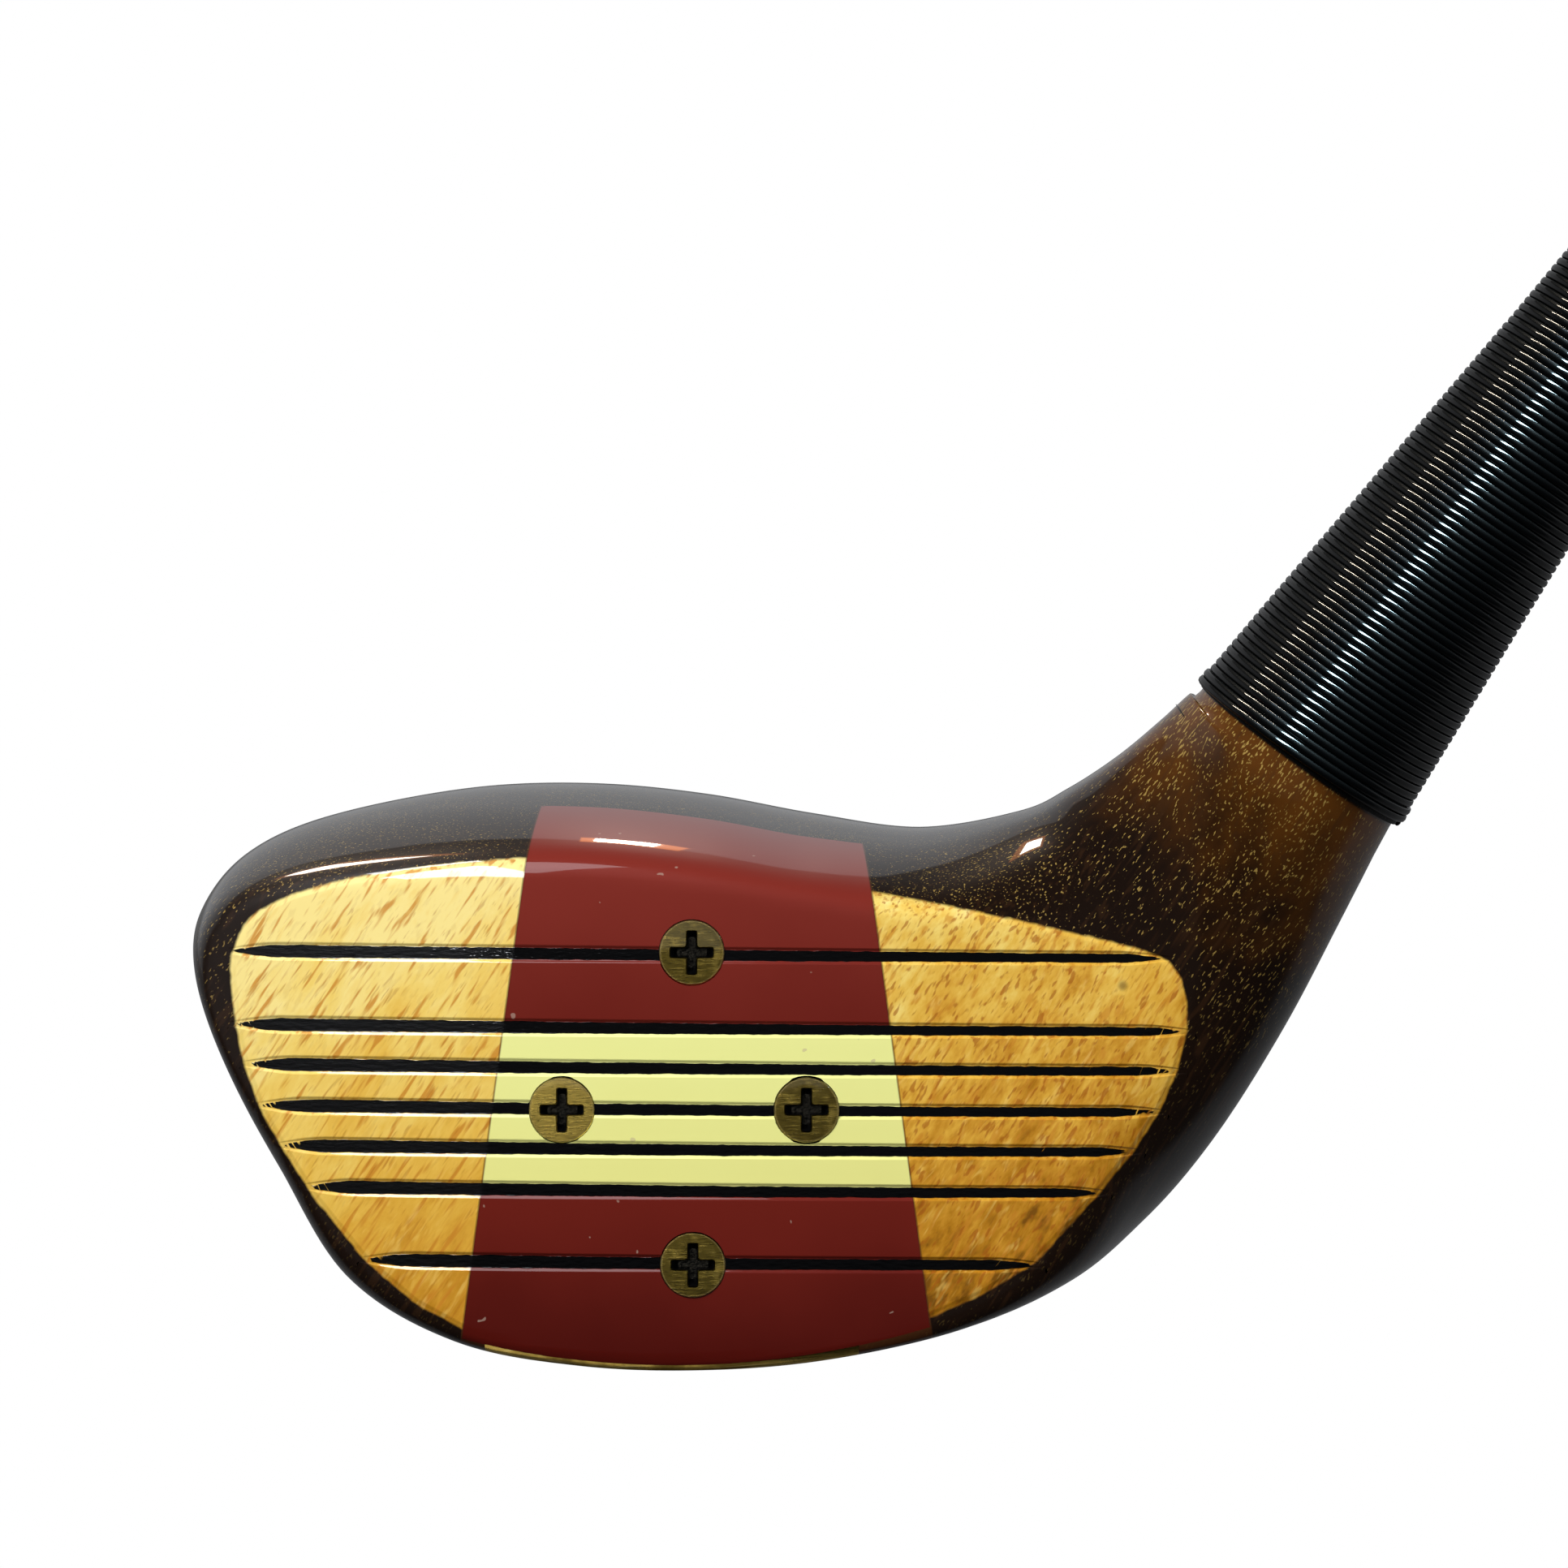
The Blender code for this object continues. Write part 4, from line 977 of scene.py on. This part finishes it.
# The thread is drawn tight and waxed, so it lies a little flat: half its thickness.
THREAD_FLATNESS = 0.2
TUCKED_TURNS = 2.4
TUCKED_RISE = 0.16
FERRULE_START = 38.3
FERRULE_END = 58.0
neck_frame = frame_matrix(NECK_POINT, NECK_LINE)


def ferrule_radius(along):
    """Radius of the ferrule, which goes on with the neck's taper."""
    return np.interp(along, (FERRULE_START, FERRULE_END), (6.3, 4.9))


def bound_radius(along):
    """Radius of what the thread is wound on."""
    stations, radii = zip(*NECK_RADII)
    neck = np.interp(along, stations, radii)
    return np.where(along < FERRULE_START, neck, ferrule_radius(along))


turns = (WHIPPING_END - WHIPPING_START - 2 * THREAD_RADIUS) / THREAD_PITCH
steps = int(turns * TURN_POINTS)
share = np.arange(steps + 1) / TURN_POINTS
along = WHIPPING_START + THREAD_RADIUS + share * THREAD_PITCH
raised = TUCKED_RISE * np.clip((TUCKED_TURNS - share) / 0.15, 0, 1)
radius = bound_radius(along) + 2 * THREAD_RADIUS - THREAD_FLATNESS + raised
turn = share * 2 * math.pi
core = np.stack((radius * np.cos(turn), radius * np.sin(turn), along), axis=1)
outwards = np.stack((np.cos(turn), np.sin(turn), np.zeros(len(turn))), axis=1)
upwards = np.tile((0.0, 0.0, 1.0), (len(turn), 1))
around_thread = np.linspace(0, 2 * math.pi, THREAD_SIDES + 1)[:-1]
tube = np.stack(
    [
        core + outwards * THREAD_FLATNESS * math.cos(a) + upwards * THREAD_RADIUS * math.sin(a)
        for a in around_thread
    ],
    axis=1,
)
faces = grid_faces(len(tube), THREAD_SIDES)
faces.append(list(range(THREAD_SIDES)))
faces.append([(len(tube) - 1) * THREAD_SIDES + i for i in reversed(range(THREAD_SIDES))])
mesh = bpy.data.meshes.new("whipping_thread")
mesh.from_pydata((tube.reshape(-1, 3) * MM).tolist(), [], faces)
mesh.shade_smooth()
thread = place_mesh("whipping_thread", mesh, neck_frame)
# Black thread under wax: nearly black, with a close twist and a thin glossy film.
waxed, waxed_shader, waxed_mm = new_material(
    "waxed_black_thread",
    Roughness=0.45, Coat_Weight=0.5, Coat_Roughness=0.06, Specular_IOR_Level=0.05,
)
twist = grain(waxed, waxed_mm, (2.4, 2.4, 1.2), 3.0)
dusty = grain(waxed, waxed_mm, (0.25,) * 3, 4.0)
shade = add(waxed, "Mix", dusty, "010102", "050607", **BLEND)
height = add(waxed, "Math", twist, 0.003, **TIMES)
relief = add(waxed, "Bump", 1.0, MM, None, height)
feed(waxed, waxed_shader, Base_Color=shade, Normal=relief, Coat_Normal=relief)
mesh.materials.append(waxed)
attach(thread, "root")
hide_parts("whipping")

BED_THICKNESS = 0.3
BED_GAP = 0.03
stations = np.arange(WHIPPING_START + 0.2, WHIPPING_END - 0.2, 0.9)
outer = [(float(bound_radius(z)) + BED_THICKNESS, z) for z in stations]
inner = [(float(bound_radius(z)) + BED_GAP, z) for z in reversed(stations)]
bed = add_turned("whipping_bed", outer + inner, 48, neck_frame, ring=True)
# Painted shade under the thread: a dull black, uneven sleeve that fills the gaps between
# the turns where shade falls.
lumps = ((1.5,) * 3, 3.0)
under_thread_shade = blotched_finish(
    "black_under_thread_shade", lumps, ("030303", "0C0A09"), None, lumps, 0.1, Roughness=0.6
)
bed.data.materials.append(under_thread_shade)
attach(bed, "root")

# ---- ferrule ---------------------------------------------------------------------------
# A collar turned from black plastic rod and polished. It is pushed down the shaft on to
# the end of the neck, and carries the neck's taper on.
SHAFT_TIP_RADIUS = 4.25
bore = SHAFT_TIP_RADIUS + 0.05
profile = [
    (6.2, FERRULE_START), (6.3, FERRULE_START + 0.1), (5.0, FERRULE_END - 0.4),
    (4.8, FERRULE_END), (bore, FERRULE_END), (bore, FERRULE_START),
]
ferrule = add_turned("ferrule_turned", profile, 64, neck_frame, ring=True)
# Turned and polished: fine rings from the tool under a soft shine, a few rubbed spots.
rubbed, tool_marks = ((0.3,) * 3, 4.0), ((0.02, 0.02, 5.0), 3.0)
ferrule_plastic = blotched_finish(
    "turned_black_plastic", rubbed, ("080809", "19191B"), (0.35, 0.65, 0.14, 0.32), tool_marks, 0.02
)
ferrule.data.materials.append(ferrule_plastic)
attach(ferrule, "root")
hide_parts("ferrule")

# ---- shaft -----------------------------------------------------------------------------
# Drawn steel tube, chrome-plated, that grows towards the grip in fifteen short steps. Its
# tip is glued into the neck and pinned across.
SHAFT_BUTT_RADIUS = 7.62
SHAFT_WALL = 0.6
SHAFT_INSIDE_HEAD = 46.0
SHAFT_FIRST_STEP = 230.0
SHAFT_STEP_PITCH = 44.45
SHAFT_STEPS = 15
CLUB_LENGTH = 1092.0
CAP_ROOM = 8.0
BUTT_END = CLUB_LENGTH - NECK_POINT[2] / math.sin(LIE)
SHAFT_END = BUTT_END - CAP_ROOM
rise = (SHAFT_BUTT_RADIUS - SHAFT_TIP_RADIUS) / SHAFT_STEPS
outer = [(SHAFT_TIP_RADIUS - 0.2, -SHAFT_INSIDE_HEAD)]
outer.append((SHAFT_TIP_RADIUS, 0.3 - SHAFT_INSIDE_HEAD))
for step in range(SHAFT_STEPS):
    start = SHAFT_FIRST_STEP + step * SHAFT_STEP_PITCH
    low, high = SHAFT_TIP_RADIUS + step * rise, SHAFT_TIP_RADIUS + (step + 1) * rise
    outer += [(low, start - 6), (low, start)]
    for t in (0.2, 0.4, 0.6, 0.8):
        outer.append((low + rise * (3 - 2 * t) * t * t, start + 2 * t))
    outer += [(high, start + 2), (high, start + 8)]
outer += [(SHAFT_BUTT_RADIUS, SHAFT_END - 0.3), (SHAFT_BUTT_RADIUS - 0.2, SHAFT_END)]
inner = [
    (SHAFT_BUTT_RADIUS - SHAFT_WALL, SHAFT_END),
    (SHAFT_BUTT_RADIUS - SHAFT_WALL, SHAFT_FIRST_STEP + SHAFT_STEPS * SHAFT_STEP_PITCH),
    (SHAFT_TIP_RADIUS - SHAFT_WALL, SHAFT_FIRST_STEP),
    (SHAFT_TIP_RADIUS - SHAFT_WALL, -SHAFT_INSIDE_HEAD),
]
shaft = add_turned("shaft_tube", outer + inner, 72, neck_frame, ring=True)
# Chrome over drawn steel: mirror-bright, with faint lines along it and cloudy marks of
# handling.
cloudy, drawn = ((0.12, 0.12, 0.04), 5.0, 0.0, 0.65), ((2.5, 2.5, 0.03), 3.0)
chrome = blotched_finish(
    "chrome_plated_steel", cloudy, ("C4C8CC", "E2E4E6"), (0.35, 0.7, 0.05, 0.16), drawn, 0.006,
    Metallic=1.0,
)
shaft.data.materials.append(chrome)
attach(shaft, "root")
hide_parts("shaft")

# ---- grip ------------------------------------------------------------------------------
# A strip of pierced black leather wound edge to edge and glued over a tapered sleeve,
# between a moulded plastic collar and an end cap that a screw holds in the butt.
GRIP_LENGTH = 269.0
GRIP_START = BUTT_END - GRIP_LENGTH
STRIP_PITCH = 24.0
STRIP_TOP = 1.25
STRIP_UNDER = 0.15
SEAM_HALF_WIDTH = 1.5
SEAM_DEPTH = 0.55


def under_grip_radius(along):
    """Radius of the tapered sleeve that the leather is wound on."""
    return np.interp(along, (GRIP_START, SHAFT_END), (8.9, 12.3))


def strip_relief(turn, z, radius):
    """The strip's edges dip into the seam, and the strip is a little fuller between."""
    outside = radius > under_grip_radius(z) + (STRIP_TOP + STRIP_UNDER) / 2
    place = ((z - GRIP_START) / STRIP_PITCH - turn / (2 * math.pi)) % 1.0
    edge = np.minimum(place, 1 - place) * STRIP_PITCH
    dip = SEAM_DEPTH * np.clip(1 - edge / SEAM_HALF_WIDTH, 0, 1) ** 1.5
    return np.where(outside, -dip, 0.0)


stations = np.linspace(GRIP_START, SHAFT_END, 340)
outer = [(float(under_grip_radius(z)) + STRIP_TOP, z) for z in stations]
inner = [(float(under_grip_radius(z)) + STRIP_UNDER, z) for z in reversed(stations[::20])]
wrap = add_turned(
    "grip_leather_strip", outer + inner, 96, neck_frame, ring=True, sharp=50, grow=strip_relief
)
# Dyed leather, pierced in rows across the strip: a fine pebble, holes every four
# millimetres, and paler brown where the dye has rubbed off at the strip's edges.
leather, leather_shader, leather_mm = new_material("pierced_black_leather")
HOLE_SPACING = 4.0
HOLE_RADIUS = 0.55
MEAN_GRIP_RADIUS = 11.8
leather_axes = add(leather, "SeparateXYZ", leather_mm)
around_grip = add(leather, "Math", (leather_axes, 1), leather_axes, operation="ARCTAN2")
lead = -STRIP_PITCH / (2 * math.pi)
climb = add(leather, "Math", around_grip, lead, (leather_axes, 2), **TIMES_PLUS)
across_strip = add(leather, "Math", climb, -GRIP_START, **PLUS)
along_strip = add(leather, "Math", around_grip, MEAN_GRIP_RADIUS, **TIMES)
grid = add(leather, "CombineXYZ", along_strip, across_strip)
cell = add(
    leather, "TexVoronoi", grid, 1 / HOLE_SPACING, 0.0, None, None, 0.0, voronoi_dimensions="2D"
)
hole_edge = HOLE_RADIUS / HOLE_SPACING
hole = add(leather, "MapRange", cell, hole_edge, 0.5 * hole_edge, **SMOOTH)
half = add(leather, "Math", across_strip, STRIP_PITCH / 2, operation="PINGPONG")
edge_worn = add(leather, "MapRange", half, 2.4, 0.8, 0.0, 0.7, **SMOOTH)
pebble = add(leather, "TexVoronoi", leather_mm, 1.1)
wear = grain(leather, leather_mm, (0.12,) * 3, 5.0, roughness=0.65)
shade = add(leather, "Mix", wear, "0E0B09", "2B221C", **BLEND)
shade = add(leather, "Mix", edge_worn, shade, "4A382B", **BLEND)
shade = add(leather, "Mix", hole, shade, "020202", **BLEND)
rough = add(leather, "MapRange", wear, 0.35, 0.65, 0.42, 0.62)
height = add(leather, "Math", hole, -0.5, **TIMES)
height = add(leather, "Math", pebble, 0.12, height, **TIMES_PLUS)
relief = add(leather, "Bump", 1.0, MM, None, height)
feed(leather, leather_shader, Base_Color=shade, Roughness=rough, Normal=relief)
wrap.data.materials.append(leather)
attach(wrap, "root")
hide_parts("grip_wrap")

COLLAR_GAP = 0.3
top = GRIP_START - COLLAR_GAP
bore = SHAFT_BUTT_RADIUS + 0.1
profile = [
    (bore + 0.4, top - 9), (bore + 0.6, top - 8.8), (9.6, top - 4.5), (10.0, top - 3),
    (10.15, top - 1.5), (10.1, top - 0.3), (9.9, top), (bore, top), (bore, top - 9),
]
collar = add_turned("grip_collar_ring", profile, 64, neck_frame, ring=True)
# Moulded plastic: a fine even stipple from the mould and a greyish bloom of age.
bloom, stipple = ((0.2,) * 3, 4.0), ((4.0,) * 3,)
grip_plastic = blotched_finish(
    "moulded_black_plastic", bloom, ("0A0A0B", "1D1D1F"), (0.35, 0.65, 0.26, 0.45), stipple, 0.04
)
collar.data.materials.append(grip_plastic)
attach(collar, "root")
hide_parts("grip_collar")

CAP_HEIGHT = 7.7
low = BUTT_END - CAP_HEIGHT
profile = [
    (13.3, low), (13.6, low + 0.3), (13.85, low + 2.2), (13.85, low + 2.6), (13.6, low + 4.8),
    (13.1, low + 6.4), (12.4, BUTT_END - 0.4), (11.4, BUTT_END), (4.6, BUTT_END),
    (4.2, BUTT_END - 0.4), (2.75, BUTT_END - 0.5), (2.7, BUTT_END - 1.6), (1.5, BUTT_END - 3.2),
    (1.5, low),
]
cap = add_turned("grip_cap_moulded", profile, 96, neck_frame, ring=True)
cap.data.materials.append(grip_plastic)
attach(cap, "root")
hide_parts("grip_cap")

CAP_SCREW_SUNK = 0.6
CAP_SCREW_LENGTH = 22.0
# Tints: bright for wear and the painted highlight, dull, and the rim's painted highlight.
steel = brushed_metal("nickelled_steel", "C9C6BC", "96938A", "DCDAD2", 0.22)
cap_screw_frame = frame_matrix(axis_point(BUTT_END - CAP_SCREW_SUNK), NECK_LINE)
cap_screw = add_screw("cap_screw_turned", cap_screw_frame, CAP_SCREW_LENGTH, steel)
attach(cap_screw, "root")
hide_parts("cap_screw")

# ---- hidden pieces ---------------------------------------------------------------------
# What the assembly holds out of sight: a cast slug, a pin, the sleeve under the leather
# and the plug in the butt. Their solids stay as they are and only get their finish.
# Cast lead is dull and blotchy; ground steel has lines along it; moulded rubber is matt
# with a fine pebble; the plug is pale softwood with its grain along the shaft. Each row
# ends with the two tints, features per mm, relief in mm and the two roughnesses.
for node, name, metallic, low_tint, high_tint, per_mm, depth, low_gloss, high_gloss in (
    ("lead_weight", "cast_lead", 0.9, "5C5F63", "85888C", (0.4,) * 3, 0.2, 0.5, 0.7),
    ("hosel_pin", "ground_steel", 1.0, "8A8B8C", "B9BABB", (4.0, 0.2, 4.0), 0.02, 0.25, 0.4),
    ("grip_underlisting", "moulded_rubber", 0, "141414", "242322", (1.2,) * 3, 0.1, 0.7, 0.85),
    ("butt_plug", "turned_softwood", 0, "A9824F", "D2B183", (1.5, 1.5, 0.1), 0.05, 0.55, 0.7),
):
    made, shader, place = new_material(name, Metallic=metallic)
    texture = grain(made, place, per_mm, 4.0, roughness=0.6)
    level = add(made, "MapRange", texture, 0.35, 0.65, **SMOOTH)
    shade = add(made, "Mix", level, low_tint, high_tint, **BLEND)
    rough = add(made, "MapRange", texture, 0.35, 0.65, low_gloss, high_gloss)
    height = add(made, "Math", texture, depth, **TIMES)
    relief = add(made, "Bump", 1.0, MM, None, height)
    feed(made, shader, Base_Color=shade, Roughness=rough, Normal=relief)
    frame["nodes"][node].data.materials[0] = made

# ---- stage -----------------------------------------------------------------------------
# A wide white floor, a pale surround and soft lamps, most of them lighting only the
# pieces whose finish they bring out.
scene = bpy.context.scene
scene.view_settings.view_transform = "Standard"
FLOOR_SIZE = 400.0
FLOOR_LEVEL = -0.0002
bpy.ops.mesh.primitive_plane_add(size=FLOOR_SIZE, location=(0, 0, FLOOR_LEVEL))
floor = bpy.context.object
floor.name = "floor"
white = bpy.data.materials.new("white_floor")
white.use_nodes = True
white.node_tree.nodes.clear()
add(white, "OutputMaterial", add(white, "Emission", (1.0, 1.0, 1.0, 1.0), 1.0))
floor.data.materials.append(white)
floor.visible_glossy = False
floor.visible_diffuse = False

world = bpy.data.worlds.new("surround")
scene.world = world
world.use_nodes = True
world.node_tree.nodes.clear()
# The surround is brighter behind the head than in front, dimmer below the floor and
# nearly dark overhead; straight on it is seen as plain white.
sky = add(world, "SeparateXYZ", add(world, "TexCoord"))
low_light = add(world, "MapRange", (sky, 1), -0.25, 0.1, 0.05, 0.375, **SMOOTH)
under = add(world, "MapRange", (sky, 2), -0.02, -0.1, 1.0, 0.38, **SMOOTH)
low_light = add(world, "Math", low_light, under, **TIMES)
overhead = add(world, "MapRange", (sky, 2), 0.55, 0.575, **SMOOTH)
level = add(world, "Mix", overhead, low_light, 0.04)
light = add(world, "Background", (0.95, 0.97, 1.0, 1.0), level)
plain = add(world, "Background", (1.0, 1.0, 1.0, 1.0), 1.0)
add(world, "OutputWorld", add(world, "MixShader", add(world, "LightPath"), light, plain))


LAMP_DISTANCE = 1.6
LIT_PLACE = Vector((0, -0.02, 0.04))


def add_lamp(
    name, toward, width, height, radiance, shade,
    upright=(0, 0, 1), diffuse=False, glossy=True, only=(),
):
    """A soft rectangular lamp in a direction from the head; sizes in degrees across, the
    height along upright. Diffuse and glossy say how it shows; only, on which pieces."""
    lamp = bpy.data.lights.new(name, "AREA")
    lamp.shape = "RECTANGLE"
    lamp.size, lamp.size_y = (LAMP_DISTANCE * math.radians(a) for a in (width, height))
    lamp.energy = radiance * math.pi * lamp.size * lamp.size_y
    lamp.color = colour(shade)[:3]
    obj = bpy.data.objects.new(name, lamp)
    scene.collection.objects.link(obj)
    direction = Vector(toward).normalized()
    obj.location = LIT_PLACE + direction * LAMP_DISTANCE
    across = Vector(upright).cross(direction).normalized()
    axes = Matrix((across, direction.cross(across), direction)).transposed()
    obj.rotation_euler = axes.to_euler()
    obj.visible_glossy = glossy
    obj.visible_diffuse = diffuse
    if only:
        lit = bpy.data.collections.new(name + "_lights")
        for piece in only:
            lit.objects.link(piece)
        obj.light_linking.receiver_collection = lit
    return obj


brass_pieces = [o for o in scene.objects if o.name.startswith(("insert_screw", "sole_screw"))]
brass_pieces = [o for o in brass_pieces if o.name.endswith("_turned")]
add_lamp("key", (-0.4, -0.55, 0.85), 34, 26, 14.5, "FFFFFF", diffuse=True, glossy=False)
add_lamp("fill", (0.5, -0.8, 0.4), 34, 26, 3.2, "FFFFFF", diffuse=True, glossy=False)
add_lamp("crown_spot", (0.022, 0.835, 0.55), 3.6, 2.4, 28, "FFF6E8", only=slabs[:1])
add_lamp("crown_fringe", (0.022, 0.83, 0.555), 5.4, 3.6, 3.0, "FF9A50", only=slabs[:1])
add_lamp("shoulder_spot", (-0.307, 0.509, 0.804), 9, 8, 25, "FFF6E8", only=[head])
add_lamp("shoulder_fringe", (-0.307, 0.509, 0.804), 13, 12, 2.5, "FF9A50", only=[head])
# This one stands close and is turned away from the heel, so that only the toe shows it.
window = add_lamp("window_strip", (-0.422, -0.535, 0.732), 2.4, 3.6, 17, "F6FAFF", only=[head])
window.location = (-0.045, -0.077, 0.118)
window_turn = Matrix(((0.551, -0.09, 0.83), (0.453, 0.867, -0.207), (-0.701, 0.49, 0.518)))
window.rotation_euler = window_turn.to_euler()
add_lamp("window_strip_insert", (-0.16, -0.53, 0.83), 12, 46, 3, "F6FAFF", only=slabs)
# Narrow strips set across the thread's turns draw the bright lines along the neck.
for name, toward, width, height, radiance, shade, upright in (
    ("main", (0.25, -0.45, 0.86), 8, 50, 170, "C4E6F2", (0.68, 0.71, 0.17)),
    ("warm", (-0.07, 0.08, 0.99), 1.6, 46, 260, "FFF0D8", (0.99, -0.1, 0.08)),
    ("blue", (0.07, -0.22, 0.97), 2, 40, 16, "BCD8FF", (0.94, 0.33, 0.01)),
):
    add_lamp("thread_" + name, toward, width, height, radiance, shade, upright, only=[thread])
# Broad soft panels around the shaft, grip and sole, which face away from the other lamps.
upper_pieces = [shaft, ferrule, wrap, collar, cap, cap_screw]
for side, toward, radiance in (
    ("left", (-0.8, -0.55, 0.25), 1.3),
    ("right", (0.75, -0.6, 0.1), 0.6),
    ("back", (0.3, 0.9, 0.3), 1.1),
    ("far", (-0.6, 0.75, 0.2), 0.5),
):
    add_lamp("shaft_" + side, toward, 24, 70, radiance, "FBFCFF", diffuse=True, only=upper_pieces)
add_lamp("sole_glow", (-0.3, -0.5, -0.8), 40, 40, 0.9, "FFFFFF", diffuse=True, only=[plate])
add_lamp("brass_glow", (-0.15, -0.93, 0.3), 24, 16, 1.45, "FFF4D8", only=brass_pieces)

camera = bpy.data.cameras.new("camera")
camera.lens = 114.67
camera.sensor_width = 36
camera_object = bpy.data.objects.new("camera", camera)
scene.collection.objects.link(camera_object)
camera_object.location = (0.0075, -0.41676, 0.11288)
camera_object.rotation_euler = (math.radians(80.5), 0, 0)
scene.camera = camera_object
